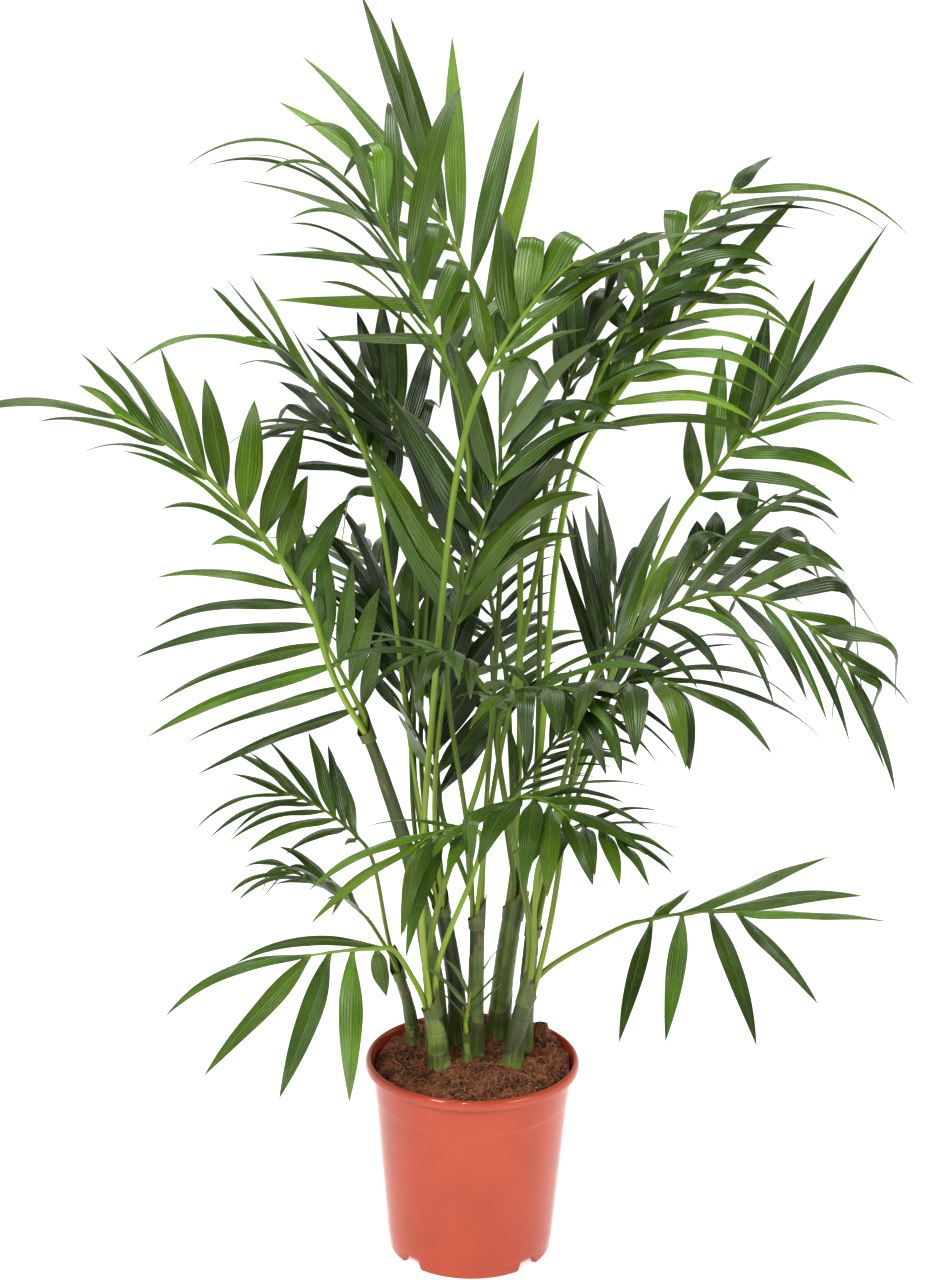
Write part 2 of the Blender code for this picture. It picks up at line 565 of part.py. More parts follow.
def seats(cane, bearings):
    """Where the stalks of a cane stand on its mouth, in a ring, and the room that each has.

    The ring is turned so that its seats face the sorted bearings of the blades as well as they can.
    """
    count = len(bearings)
    mouth = cane_path(cane)[-1]
    forward = tangents(cane_path(cane))[-1]
    side = unit(np.array([1.0, 0.0, 0.0]) - forward * forward[0])
    other = np.cross(forward, side)
    if count == 1:
        return [mouth], forward, cane.top_radius - SEAT_MARGIN
    sine = math.sin(math.pi / count)
    room = cane.top_radius * sine / (1 + sine) - SEAT_MARGIN
    reach = cane.top_radius - room - SEAT_MARGIN
    even = 2 * math.pi * np.arange(count) / count
    ahead = np.asarray(bearings) - even
    angles = even + math.atan2(np.sin(ahead).sum(), np.cos(ahead).sum())
    found = mouth + reach * (side * np.cos(angles)[:, None] + other * np.sin(angles)[:, None])
    return list(found), forward, room


def rib_controls(frond):
    """The three control points of a rib. The middle one is bowed up and swayed aside."""
    throat, tip = np.array(frond.throat), np.array(frond.tip)
    aside = unit(np.cross(tip - throat, DOWN))
    middle = (throat + tip) / 2 - DOWN * frond.bow + aside * frond.sway
    return throat, middle, tip


def stalk_path(frond, seat, forward, low, high):
    """The stalk's middle line, from its seat on the cane to the throat of the blade."""
    throat, middle, _ = rib_controls(frond)
    length = np.linalg.norm(throat - seat)
    into = unit(middle - throat)
    start = seat + forward * 1.3 * GAP
    return bezier([
        start,
        start + forward * length * STALK_RISE + low,
        (start + throat) / 2 + low + high,
        throat - into * length * STALK_EASE + high,
        throat - into * GAP,
    ], STALK_RINGS)


def shifts():
    """Sideways shifts of the lower and the upper part of a stalk, the smallest first."""
    single = [np.zeros(3)]
    for reach in STALK_SHIFTS:
        for k in range(8):
            angle = 2 * math.pi * k / 8
            single.append(np.array([reach * math.cos(angle), reach * math.sin(angle), 0.0]))
    pairs = [(low, high) for low in single for high in single]
    pairs.sort(key=lambda pair: np.linalg.norm(pair[0]) * 1.5 + np.linalg.norm(pair[1]))
    return pairs


def clear_stalk(frond, seat, forward, room, crowd):
    """The path, radii and end directions of a stalk on the first route clear of the others."""
    throat, middle, _ = rib_controls(frond)
    ends = (forward, unit(middle - throat))
    radii = np.linspace(min(frond.stalk * 1.25, room), frond.stalk * 0.85, STALK_RINGS)
    for low, high in shifts():
        path = stalk_path(frond, seat, forward, low, high)
        wide, faces = tube(path, radii + TEST_MARGIN, STALK_SIDES, ends)
        if crowd.clear(wide, faces, (frond.cane, frond.name, f"{frond.name} room")):
            break
    points, faces = tube(path, radii, STALK_SIDES, ends)
    crowd.add(points, faces, frond.name)
    return path, radii, ends


def build_stalks(cane, crowd):
    """The stalks that one cane bears, each on the side of the cane that its blade leans to.

    A whole frond carries its own stalk, so this only returns that stalk's foot.
    """
    def bearing(frond):
        across, away = frond.throat[0] - cane.top[0], frond.throat[1] - cane.top[1]
        return math.atan2(away, across) % (2 * math.pi)

    borne = sorted((frond for frond in FRONDS if frond.cane == cane.name), key=bearing)
    places, forward, room = seats(cane, [bearing(frond) for frond in borne])
    feet = {}
    for frond, seat in zip(borne, places):
        path, radii, ends = clear_stalk(frond, seat, forward, room, crowd)
        if frond.whole:
            feet[frond.name] = (path, radii, ends)
            continue
        name = f"stalk_{frond.name}"
        points, faces = tube(path, radii, STALK_SIDES, ends)
        finish = material(name, (0.210, 0.330, 0.055), 0.40)
        add_object(name, points, faces, path[0], finish, ROUND_ANGLE)
    return feet


def rib_frames(frond, shares):
    """Centres and the forward, side and up directions of a rib at shares of its length."""
    throat, middle, tip = rib_controls(frond)
    fine = bezier((throat, middle, tip), 60)
    run = np.concatenate([[0.0], np.cumsum(np.linalg.norm(np.diff(fine, axis=0), axis=1))])
    ahead = tangents(fine)
    wanted = np.asarray(shares) * run[-1]
    centres = np.stack([np.interp(wanted, run, fine[:, k]) for k in range(3)], axis=1)
    forward = np.stack([np.interp(wanted, run, ahead[:, k]) for k in range(3)], axis=1)
    forward /= np.linalg.norm(forward, axis=1)[:, None]
    flat = np.cross(unit((tip - throat) * (1.0, 1.0, 0.0)), -DOWN)
    side = flat - forward * (forward @ flat)[:, None]
    side /= np.linalg.norm(side, axis=1)[:, None]
    up = np.cross(side, forward)
    turn = math.radians(frond.roll)
    rolled = side * math.cos(turn) + up * math.sin(turn)
    up = up * math.cos(turn) - side * math.sin(turn)
    return centres, forward, rolled, up, run[-1]


def pair_shares(frond, length):
    """Where the pairs stand on the rib, closing up towards the tip."""
    first = BASE_HALF_LENGTH * 2.2 / length
    last = 1 - BASE_HALF_LENGTH * 0.9 / length
    even = np.linspace(0.0, 1.0, frond.pairs)
    return first + (last - first) * even * (1 + PAIR_CLOSING * (1 - even))


@dataclass
class Leaflet:
    """The middle line of a leaflet with its width and top directions at each step."""

    centres: np.ndarray
    across: np.ndarray
    top: np.ndarray
    width: float
    length: float


def leaflet_line(start, frame, hand, habit, crease, length, width):
    """Works out a leaflet that leaves the rib at an angle, turns to the light and sags.

    The habit holds the spread and lift in degrees and the fall. A crease holds the middle step and
    the angle of a fold, which is shared out over three steps.
    """
    forward, side, up = frame
    spread, lift, fall = math.radians(habit[0]), math.radians(habit[1]), habit[2]
    out = hand * side * math.cos(lift) + up * math.sin(lift)
    ahead = unit(forward * math.cos(spread) + out * math.sin(spread))
    across = unit(forward - ahead * (forward @ ahead))
    top = hand * np.cross(ahead, across)
    level = ahead * (1.0, 1.0, 0.0)
    pull = unit(DOWN + FALL_LEAN * level / max(np.linalg.norm(level), 0.2))
    centres, wides, tops = [start], [across], [top]
    for step in range(LEAF_STEPS):
        share = (step + 0.5) / LEAF_STEPS
        bent = unit(ahead + pull * fall * FALL_PACE * share ** 0.8 / LEAF_STEPS)
        if crease and abs(step - crease[0]) <= 1:
            part = CREASE_PARTS[step - crease[0] + 1]
            bent = rotate(bent, hand * across, math.radians(crease[1]) * part)
        axis = np.cross(ahead, bent)
        sine = min(np.linalg.norm(axis), 1.0)
        if sine > 1e-9:
            across = rotate(across, axis / sine, math.atan2(sine, ahead @ bent))
        ahead = bent
        across = unit(across - ahead * (across @ ahead))
        top = hand * np.cross(ahead, across)
        lit = ahead * (ahead @ DOWN) - DOWN
        if share < LIT_SHARE and top @ lit > -0.2:
            top = unit(top + lit * LIGHT_TURN / (LIT_SHARE * LEAF_STEPS))
            across = hand * np.cross(top, ahead)
        centres.append(centres[-1] + ahead * length / LEAF_STEPS)
        wides.append(across)
        tops.append(top)
    return Leaflet(np.array(centres), np.array(wides), np.array(tops), width, length)


def leaf_width(share):
    """A leaflet's width as a share of its widest: narrow at the rib, long in the point."""
    rise = 1 - (1 - min(share / WIDEST_SHARE, 1.0)) ** 2
    close = 1 - max((share - WIDEST_SHARE) / (1 - WIDEST_SHARE), 0.0) ** 1.9
    return (ROOT_WIDTH_SHARE + (1 - ROOT_WIDTH_SHARE) * rise) * close


def leaflet_rings(leaflet, margin=0.0):
    """The two middle rings and the tip of a leaflet: a plate that ends in a point."""
    half_thick = leaflet.length * THICK_SHARE / 2 + margin
    rings = []
    for step in LEAF_RINGS:
        half = leaflet.width / 2 * leaf_width(step / LEAF_STEPS) + margin
        centre, across, top = leaflet.centres[step], leaflet.across[step], leaflet.top[step]
        for wide, high in ((-1, 1), (1, 1), (1, -1), (-1, -1)):
            rings.append(centre + across * wide * half + top * high * half_thick)
    ahead = unit(leaflet.centres[-1] - leaflet.centres[-2])
    rings.append(leaflet.centres[-1] + ahead * margin)
    return rings


def leaflet_faces(root, first):
    """The faces of a leaflet that grows from four root corners, its own points from first on.

    Facing sides of the plate are cut along the same diagonal, so a twisted one keeps its thickness.
    """
    rings = [tuple(root), tuple(range(first, first + 4)), tuple(range(first + 4, first + 8))]
    faces = []
    for (a, b, c, d), (e, f, g, h) in zip(rings, rings[1:]):
        faces += [(a, b, f), (a, f, e), (b, c, g), (b, g, f),
                  (c, d, g), (d, h, g), (d, a, h), (a, e, h)]
    faces += [(rings[2][k], rings[2][(k + 1) % 4], first + 8) for k in range(4)]
    return faces


def test_shape(leaflet, root):
    """Points and faces of a leaflet made a little larger, from just off the rib."""
    shift = unit(leaflet.centres[1] - leaflet.centres[0]) * TEST_START
    points = np.array([*(root + shift), *leaflet_rings(leaflet, TEST_MARGIN)])
    return points, [(3, 2, 1, 0), *leaflet_faces((0, 1, 2, 3), 4)]


def place_leaflet(frond, corners, frame, hand, share, chance, crowd):
    """The first leaflet of this place that is clear of the others, or None."""
    habit = frond.right if hand > 0 else frond.left
    spread = habit.spread * (1 + (habit.close - 1) * share ** 1.2) + chance.gauss(0, 3.0)
    lift = habit.lift + chance.gauss(0, 6)
    fall = habit.fall * chance.uniform(0.6, 1.4) * (0.85 + 0.4 * share)
    bulge = math.sin(math.pi * min(share / 0.9, 1.0)) ** 0.7 if share < 0.9 else 0.0
    ends = habit.base + (habit.tip - habit.base) * share
    length = frond.leaf * habit.size * (ends + (1 - ends) * bulge) * chance.uniform(0.92, 1.06)
    width = frond.width * habit.wide * (0.82 + 0.18 * bulge) * chance.uniform(0.9, 1.08)
    crease = None
    if chance.random() < habit.crease:
        crease = (chance.choice((5, 6, 7)), chance.uniform(60, 110))
    for more_lift, more_spread, part in LEAF_TRIES:
        leaflet = leaflet_line(corners.mean(axis=0), frame, hand,
                               (spread + more_spread, lift + more_lift, fall), crease,
                               length * part, width)
        points, faces = test_shape(leaflet, corners)
        if crowd.clear(points, faces, (f"{frond.name} room",)):
            crowd.add(points, faces, "leaflet")
            return leaflet
    return None


def stalk_rings(foot, side):
    """The four-cornered rings of a whole frond's stalk, up to the throat."""
    path, radii, ends = foot
    forward = tangents(path)
    forward[0] = ends[0]
    points = []
    for centre, ahead, radius in zip(path[:-1], forward, radii):
        across = unit(side - ahead * (side @ ahead))
        raised = np.cross(across, ahead)
        for wide, high in ((1, 1), (1, -1), (-1, -1), (-1, 1)):
            points.append(centre + (across * wide + raised * high) * radius * math.sqrt(0.5))
    return points


def build_blade(frond, foot, crowd):
    """One blade: a four-sided rib whose side faces grow out into leaflets.

    A whole frond has a foot, the path, radii and end directions of its stalk, and it runs on down
    to its cane.
    """
    chance = random.Random(frond.name)
    length = rib_frames(frond, [0.0])[4]
    half = BASE_HALF_LENGTH / length
    shares = [0.0]
    for place in pair_shares(frond, length):
        shares += [place - half, place + half * 0.9]
    centres, forward, side, up, _ = rib_frames(frond, shares)
    taper = (1 + (RIB_TIP_SHARE - 1) * np.asarray(shares)) * min(frond.stalk / RIB_STALK, 1.3)
    wide = side * (RIB_HALF_WIDTH * taper)[:, None]
    high = up * (RIB_HALF_HEIGHT * taper)[:, None]
    rings = np.stack([wide + high, wide - high, -wide - high, -wide + high], axis=1)
    points = list((centres[:, None] + rings).reshape(-1, 3))
    faces = []
    if foot is None:
        faces.append((3, 2, 1, 0))
    else:
        first = len(points)
        points += stalk_rings(foot, side[0])
        starts = [*range(first, len(points), 4), 0]
        faces.append((first + 3, first + 2, first + 1, first))
        for a, b in zip(starts, starts[1:]):
            faces += [(a + j, a + (j + 1) % 4, b + (j + 1) % 4, b + j) for j in range(4)]
    for k in range(len(shares) - 1):
        a, b = 4 * k, 4 * (k + 1)
        faces.append((a + 1, a + 2, b + 2, b + 1))
        faces.append((a + 3, a, b, b + 3))
        for hand, quad in ((1, (a, b, b + 1, a + 1)), (-1, (a + 3, b + 3, b + 2, a + 2))):
            leaflet = None
            if k % 2 == 1:
                corners = np.array([points[i] for i in quad])
                frame = (unit(forward[k] + forward[k + 1]), side[k], up[k])
                leaflet = place_leaflet(frond, corners, frame, hand,
                                        k // 2 / (frond.pairs - 1), chance, crowd)
            if leaflet is None:
                faces.append(quad)
                continue
            faces += leaflet_faces(quad, len(points))
            points.extend(leaflet_rings(leaflet))
    last = 4 * (len(shares) - 1)
    faces.append((last, last + 1, last + 2, last + 3))
    name = f"frond_{frond.name}"
    finish = material(name, mixed(LEAF_DARK, LEAF_LIGHT, frond.light), 0.38)
    add_object(name, points, faces, frond.throat, finish, FOLD_ANGLE)


def keep_rib(frond, crowd):
    """Keeps the room of a rib before any leaflet is placed."""
    centres = rib_frames(frond, np.linspace(0.0, 1.0, RIB_TEST_RINGS))[0]
    taper = np.linspace(1.0, RIB_TIP_SHARE, RIB_TEST_RINGS)
    for radius, owner in ((RIB_HALF_WIDTH, frond.name), (RIB_TEST_RADIUS, f"{frond.name} room")):
        points, faces = tube(centres, radius * taper, 4)
        crowd.add(points, faces, owner)


def main():
    """Builds the pot, the soil, the canes and the fronds."""
    clear_scene()
    plant = bpy.data.objects.new(PLANT_EMPTY, None)
    bpy.context.scene.collection.objects.link(plant)
    build_pot()
    build_soil()
    crowd = Crowd()
    for cane in CANES:
        build_cane(cane, crowd)
    for frond in FRONDS:
        keep_rib(frond, crowd)
    feet = {}
    for cane in CANES:
        feet.update(build_stalks(cane, crowd))
    for frond in FRONDS:
        build_blade(frond, feet.get(frond.name), crowd)


if __name__ == "__main__":
    main()
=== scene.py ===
"""The looks of a clumping palm in a round nursery pot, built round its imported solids.

Units are metres, +Z is up, and the side that is seen first faces -Y. Canes, stalks and fronds grow
by the rule that the solids follow, in the same order and from the same seeds, so each fine leaflet
lies on the blunt one that it stands for. Every sub-assembly is a class that holds its sizes, works
out its surfaces as whole arrays and dresses them.
"""

import logging
import math
import random
from dataclasses import dataclass, field
from enum import Enum

import bpy
import numpy as np
from mathutils import Matrix
from mathutils.bvhtree import BVHTree


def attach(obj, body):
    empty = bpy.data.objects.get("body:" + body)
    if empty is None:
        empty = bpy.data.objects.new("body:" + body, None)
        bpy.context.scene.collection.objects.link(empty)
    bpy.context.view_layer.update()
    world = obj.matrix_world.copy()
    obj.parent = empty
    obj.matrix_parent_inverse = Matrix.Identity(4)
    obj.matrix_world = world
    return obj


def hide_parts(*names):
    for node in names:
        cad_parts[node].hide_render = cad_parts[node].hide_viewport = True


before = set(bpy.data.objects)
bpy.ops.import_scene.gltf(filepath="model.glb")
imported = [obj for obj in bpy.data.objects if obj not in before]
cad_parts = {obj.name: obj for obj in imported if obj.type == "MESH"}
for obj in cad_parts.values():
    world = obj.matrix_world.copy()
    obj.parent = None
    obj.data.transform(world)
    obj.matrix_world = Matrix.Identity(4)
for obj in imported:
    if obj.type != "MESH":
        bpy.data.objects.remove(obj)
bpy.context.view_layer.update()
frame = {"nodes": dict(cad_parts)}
LOG = logging.getLogger("palm")

Array = np.ndarray
Socket = bpy.types.NodeSocket

# The clear space between two pieces that touch on the real plant, and the soil's level.
GAP = 0.0003
SOIL_TOP = 0.2160
DOWN = np.array([0.0, 0.0, -1.0])

# The growth rule of the solids: canes, stalks and ribs.
CANE_SIDES = 10
CANE_RINGS = 5
FOOT_FLARE = 1.22
STALK_SIDES = 6
STALK_RINGS = 7
STALK_RISE = 0.30
STALK_EASE = 0.18
STALK_SHIFTS = (0.015, 0.030, 0.050)
SEAT_MARGIN = 0.0006
RIB_HALF_WIDTH = 0.0030
RIB_HALF_HEIGHT = 0.0026
RIB_STALK = 0.0036
RIB_TIP_SHARE = 0.42
RIB_TEST_RINGS = 8
RIB_TEST_RADIUS = 0.0050
PAIR_CLOSING = 0.12

# The growth rule of the solids: leaflets.
LEAF_STEPS = 12
LEAF_RINGS = (4, 8)
BASE_HALF_LENGTH = 0.0050
THICK_SHARE = 0.0110
WIDEST_SHARE = 0.35
ROOT_WIDTH_SHARE = 0.25
FALL_PACE = 1.6
FALL_LEAN = 0.35
CREASE_PARTS = (0.3, 0.4, 0.3)
LIT_SHARE = 0.4
LIGHT_TURN = 1.4
TEST_MARGIN = 0.0007
TEST_START = 0.004
LEAF_TRIES = (
    # lift change, spread change (degrees), length share
    (0, 0, 1.00), (12, 0, 1.00), (-12, 0, 1.00), (0, 9, 1.00), (0, -9, 1.00), (24, 0, 1.00),
    (-24, 0, 1.00), (12, 9, 0.92), (-12, -9, 0.92), (12, -9, 0.85), (-12, 9, 0.85),
    (38, 0, 0.85), (-38, 0, 0.85), (0, 16, 0.75), (0, -16, 0.75), (20, 0, 0.6), (-20, 0, 0.6),
    (0, 0, 0.45), (30, 10, 0.4), (-30, -10, 0.4),
)


class Hand(Enum):
    """The side of a rib that a leaflet grows from."""

    RIGHT = 1
    LEFT = -1


class Slot(Enum):
    """The material slots of the record that a piece can take its finish from."""

    POT = "pot"
    SOIL = "soil"
    CANE = "cane"
    STALK = "stalk"
    LEAF = "leaf"


def unit(vector: Array) -> Array:
    """The vector at length one."""
    return vector / np.linalg.norm(vector)


def units(vectors: Array) -> Array:
    """Each vector along the last axis at length one."""
    return vectors / np.linalg.norm(vectors, axis=-1, keepdims=True)


def bezier(controls: Array, steps: int) -> Array:
    """Points on the Bezier curve of any number of controls, by de Casteljau's halving rule.

    Args:
        controls: The control points.
        steps: How many points to give, evenly spaced in the curve's own parameter.

    Returns:
        The points, one row each.
    """
    t = np.linspace(0.0, 1.0, steps)[:, None, None]
    points = np.asarray(controls, float)[None]
    while points.shape[1] > 1:
        points = points[:, :-1] * (1 - t) + points[:, 1:] * t
    return points[:, 0]


def tangents(points: Array) -> Array:
    """The direction of travel at each point of a path, from its neighbours' difference."""
    steps = np.gradient(points, axis=0)
    return steps / np.linalg.norm(steps, axis=1)[:, None]


def rotate(vector: Array, axis: Array, angle: float) -> Array:
    """The vector turned about a unit axis by an angle in radians, by Rodrigues' rule."""
    return (vector * math.cos(angle) + np.cross(axis, vector) * math.sin(angle)
            + axis * (axis @ vector) * (1 - math.cos(angle)))


def smooth(value: Array) -> Array:
    """A step from 0 to 1 with soft ends: 3x^2 - 2x^3, held outside 0 to 1."""
    held = np.clip(value, 0.0, 1.0)
    return held * held * (3 - 2 * held)


@dataclass(frozen=True)
class Cane:
    """A stem of nested leaf sheaths, from its flat cut on the soil to the mouth of its sheath."""

    name: str
    foot: tuple[float, float]
    top: tuple[float, float, float]
    foot_radius: float
    top_radius: float

    def controls(self) -> Array:
        """The three control points of the middle line: upright at the soil, then leaning."""
        foot = np.array([*self.foot, SOIL_TOP + GAP])
        top = np.array(self.top)
        return np.array([foot, foot - DOWN * (top[2] - foot[2]) * 0.45, top])

    def path(self, rings: int = CANE_RINGS) -> Array:
        """The middle line in a number of rings."""
        return bezier(self.controls(), rings)

    def radii(self, rings: int = CANE_RINGS) -> Array:
        """The radius at each ring: a straight taper times a swelling that dies off as x^5."""
        share = np.linspace(0.0, 1.0, rings)
        taper = self.foot_radius + (self.top_radius - self.foot_radius) * share
        return taper * (1 + (FOOT_FLARE - 1) * (1 - share) ** 5)

    def seats(self, bearings: list[float]) -> tuple[list[Array], Array, float]:
        """Where the stalks stand on the mouth: a ring turned to face their sorted bearings.

        Args:
            bearings: The directions of the blades round the cane, in radians, sorted.

        Returns:
            The seats, the direction that the mouth faces, and the radius that each has.
        """
        count = len(bearings)
        mouth, forward = self.path()[-1], tangents(self.path())[-1]
        side = unit(np.array([1.0, 0.0, 0.0]) - forward * forward[0])
        other = np.cross(forward, side)
        if count == 1:
            return [mouth], forward, self.top_radius - SEAT_MARGIN
        sine = math.sin(math.pi / count)
        room = self.top_radius * sine / (1 + sine) - SEAT_MARGIN
        reach = self.top_radius - room - SEAT_MARGIN
        even = 2 * math.pi * np.arange(count) / count
        ahead = np.asarray(bearings) - even
        angles = even + math.atan2(np.sin(ahead).sum(), np.cos(ahead).sum())
        ring = side * np.cos(angles)[:, None] + other * np.sin(angles)[:, None]
        return list(mouth + reach * ring), forward, room


@dataclass(frozen=True)
class Side:
    """How the leaflets of one side leave the rib. Angles are in degrees.

    Close is the share of the spread that is left at the tip of the rib, base and tip are the
    shares of the full length at its two ends, crease is the share of leaflets that fold over,
    and wide is the share of the frond's full leaflet width.
    """

    spread: float = 50.0
    close: float = 0.45
    lift: float = 8.0
    fall: float = 0.7
    crease: float = 0.1
    size: float = 1.0
    wide: float = 1.0
    base: float = 0.75
    tip: float = 0.65


@dataclass(frozen=True)
class RibFrames:
    """Centres and the forward, side and up directions along a rib, and the rib's length."""

    centres: Array
    forward: Array
    side: Array
    up: Array
    length: float


@dataclass(frozen=True)
class Frond:
    """A stalk and its blade. The rib runs from the throat to the tip."""

    name: str
    cane: str
    throat: tuple[float, float, float]
    tip: tuple[float, float, float]
    bow: float = 0.03
    sway: float = 0.0
    roll: float = 0.0
    pairs: int = 8
    leaf: float = 0.18
    width: float = 0.026
    stalk: float = 0.0036
    whole: bool = False
    # How light the blade and stalk are; low values paint shade on inner and back fronds.
    light: float = 0.5
    left: Side = Side()
    right: Side = Side()

    def rib_controls(self) -> tuple[Array, Array, Array]:
        """The three control points of the rib. The middle one is bowed up and swayed aside."""
        throat, tip = np.array(self.throat), np.array(self.tip)
        aside = unit(np.cross(tip - throat, DOWN))
        middle = (throat + tip) / 2 - DOWN * self.bow + aside * self.sway
        return throat, middle, tip

    def rib_frames(self, shares: Array | list[float]) -> RibFrames:
        """The rib's frames at shares of its length: level across at the throat, then rolled."""
        throat, middle, tip = self.rib_controls()
        fine = bezier((throat, middle, tip), 60)
        run = np.concatenate([[0.0], np.cumsum(np.linalg.norm(np.diff(fine, axis=0), axis=1))])
        ahead = tangents(fine)
        wanted = np.asarray(shares) * run[-1]
        centres = np.stack([np.interp(wanted, run, fine[:, k]) for k in range(3)], axis=1)
        forward = np.stack([np.interp(wanted, run, ahead[:, k]) for k in range(3)], axis=1)
        forward /= np.linalg.norm(forward, axis=1)[:, None]
        flat = np.cross(unit((tip - throat) * (1.0, 1.0, 0.0)), -DOWN)
        side = flat - forward * (forward @ flat)[:, None]
        side /= np.linalg.norm(side, axis=1)[:, None]
        up = np.cross(side, forward)
        turn = math.radians(self.roll)
        rolled = side * math.cos(turn) + up * math.sin(turn)
        up = up * math.cos(turn) - side * math.sin(turn)
        return RibFrames(centres, forward, rolled, up, run[-1])

    def pair_shares(self, length: float) -> Array:
        """Where the pairs of leaflets stand on the rib, closing up towards the tip."""
        first = BASE_HALF_LENGTH * 2.2 / length
        last = 1 - BASE_HALF_LENGTH * 0.9 / length
        even = np.linspace(0.0, 1.0, self.pairs)
        return first + (last - first) * even * (1 + PAIR_CLOSING * (1 - even))

    def stalk_controls(self, seat: Array, forward: Array, low: Array, high: Array) -> Array:
        """The five control points of the stalk, from its seat to the throat of the blade.

        Args:
            seat: The stalk's place on the cane's mouth.
            forward: The direction that the mouth faces.
            low: A sideways shift of the lower part.
            high: A sideways shift of the upper part.

        Returns:
            The control points.
        """
        throat, middle, _ = self.rib_controls()
        length = np.linalg.norm(throat - seat)
        into = unit(middle - throat)
        start = seat + forward * 1.3 * GAP
        return np.array([
            start,
            start + forward * length * STALK_RISE + low,
            (start + throat) / 2 + low + high,
            throat - into * length * STALK_EASE + high,
            throat - into * GAP,
        ])


def ring(centre: Array, forward: Array, across: Array, radius: float, sides: int) -> Array:
    """Points round a centre, square to forward, the first half a step on from across."""
    side = unit(across - forward * (across @ forward))
    other = np.cross(forward, side)
    angles = 2 * math.pi * (np.arange(sides) + 0.5) / sides
    return centre + radius * (side * np.cos(angles)[:, None] + other * np.sin(angles)[:, None])


def tube(path: Array, radii: Array, sides: int,
         ends: tuple[Array | None, Array | None] = (None, None)) -> tuple[Array, list[tuple]]:
    """Points and faces of the blunt tube that the solids have along a path.

    Args:
        path: The middle line.
        radii: The radius at each of its points.
        sides: How many sides the tube has.
        ends: The directions that its two flat ends face, or None to follow the path.

    Returns:
        The points, and the faces as tuples of point numbers.
    """
    forward = tangents(path)
    for index, end in zip((0, -1), ends):
        if end is not None:
            forward[index] = end
    across = np.array([1.0, 0.0, 0.0])
    points = np.concatenate([ring(centre, ahead, across, radius, sides)
                             for centre, ahead, radius in zip(path, forward, radii)])
    faces = [tuple(reversed(range(sides)))]
    for k in range(len(path) - 1):
        for j in range(sides):
            a, b = k * sides + j, k * sides + (j + 1) % sides
            faces.append((a, b, b + sides, a + sides))
    last = (len(path) - 1) * sides
    faces.append(tuple(range(last, last + sides)))
    return points, faces


def tree_of(points: Array, faces: list[tuple]) -> BVHTree:
    """A search tree over the triangles of a piece, its faces cut into fans."""
    triangles = []
    for face in faces:
        triangles.extend((face[0], face[k], face[k + 1]) for k in range(1, len(face) - 1))
    return BVHTree.FromPolygons([tuple(p) for p in points], triangles)


@dataclass
class Crowd:
    """Everything that is already placed, so that a new piece can be kept clear of it."""

    lows: list[Array] = field(default_factory=list)
    highs: list[Array] = field(default_factory=list)
    trees: list[BVHTree] = field(default_factory=list)
    owners: list[str] = field(default_factory=list)

    def add(self, points: Array, faces: list[tuple], owner: str) -> None:
        """Takes in one placed piece."""
        self.lows.append(points.min(axis=0))
        self.highs.append(points.max(axis=0))
        self.trees.append(tree_of(points, faces))
        self.owners.append(owner)

    def clear(self, points: Array, faces: list[tuple], own: tuple[str, ...] = ()) -> bool:
        """Whether a piece crosses nothing placed but what these owners have.

        Args:
            points: The piece's points.
            faces: Its faces.
            own: The owners whose pieces it may touch.

        Returns:
            True where nothing is crossed.
        """
        low, high = points.min(axis=0), points.max(axis=0)
        near = (np.asarray(self.lows) <= high).all(axis=1)
        near &= (np.asarray(self.highs) >= low).all(axis=1)
        tree = None
        for index in np.flatnonzero(near):
            if self.owners[index] in own:
                continue
            tree = tree or tree_of(points, faces)
            if tree.overlap(self.trees[index]):
                return False
        return True


@dataclass(frozen=True)
class Stalk:
    """The course of one stalk: its controls, and its radius where it starts and ends."""

    controls: Array
    foot_radius: float
    throat_radius: float
    ends: tuple[Array, Array]

    def path(self, rings: int = STALK_RINGS) -> Array:
        """The middle line in a number of rings."""
        return bezier(self.controls, rings)

    def radii(self, rings: int = STALK_RINGS) -> Array:
        """The radius at each ring, on a straight taper."""
        return np.linspace(self.foot_radius, self.throat_radius, rings)


@dataclass(frozen=True)
class Leaflet:
    """The middle line of a leaflet with its width and top directions at each step."""

    centres: Array
    across: Array
    top: Array
    width: float
    length: float
    share: float
    hand: Hand

    def rings(self, margin: float = 0.0) -> list[Array]:
        """The two middle rings and the tip of the blunt leaflet, made larger by a margin."""
        half_thick = self.length * THICK_SHARE / 2 + margin
        found = []
        for step in LEAF_RINGS:
            half = self.width / 2 * float(leaf_width(step / LEAF_STEPS)) + margin
            centre, across, top = self.centres[step], self.across[step], self.top[step]
            for wide, high in ((-1, 1), (1, 1), (1, -1), (-1, -1)):
                found.append(centre + across * wide * half + top * high * half_thick)
        ahead = unit(self.centres[-1] - self.centres[-2])
        found.append(self.centres[-1] + ahead * margin)
        return found

    def test_shape(self, root: Array) -> tuple[Array, list[tuple]]:
        """Points and faces of the leaflet made a little larger, from just off the rib."""
        shift = unit(self.centres[1] - self.centres[0]) * TEST_START
        points = np.array([*(root + shift), *self.rings(TEST_MARGIN)])
        faces = [(3, 2, 1, 0)]
        for a, b, c, d in (range(0, 4), range(4, 8)):
            e, f, g, h = a + 4, b + 4, c + 4, d + 4
            faces += [(a, b, f), (a, f, e), (b, c, g), (b, g, f),
                      (c, d, g), (d, h, g), (d, a, h), (a, e, h)]
        faces += [(8 + k, 8 + (k + 1) % 4, 12) for k in range(4)]
        return points, faces


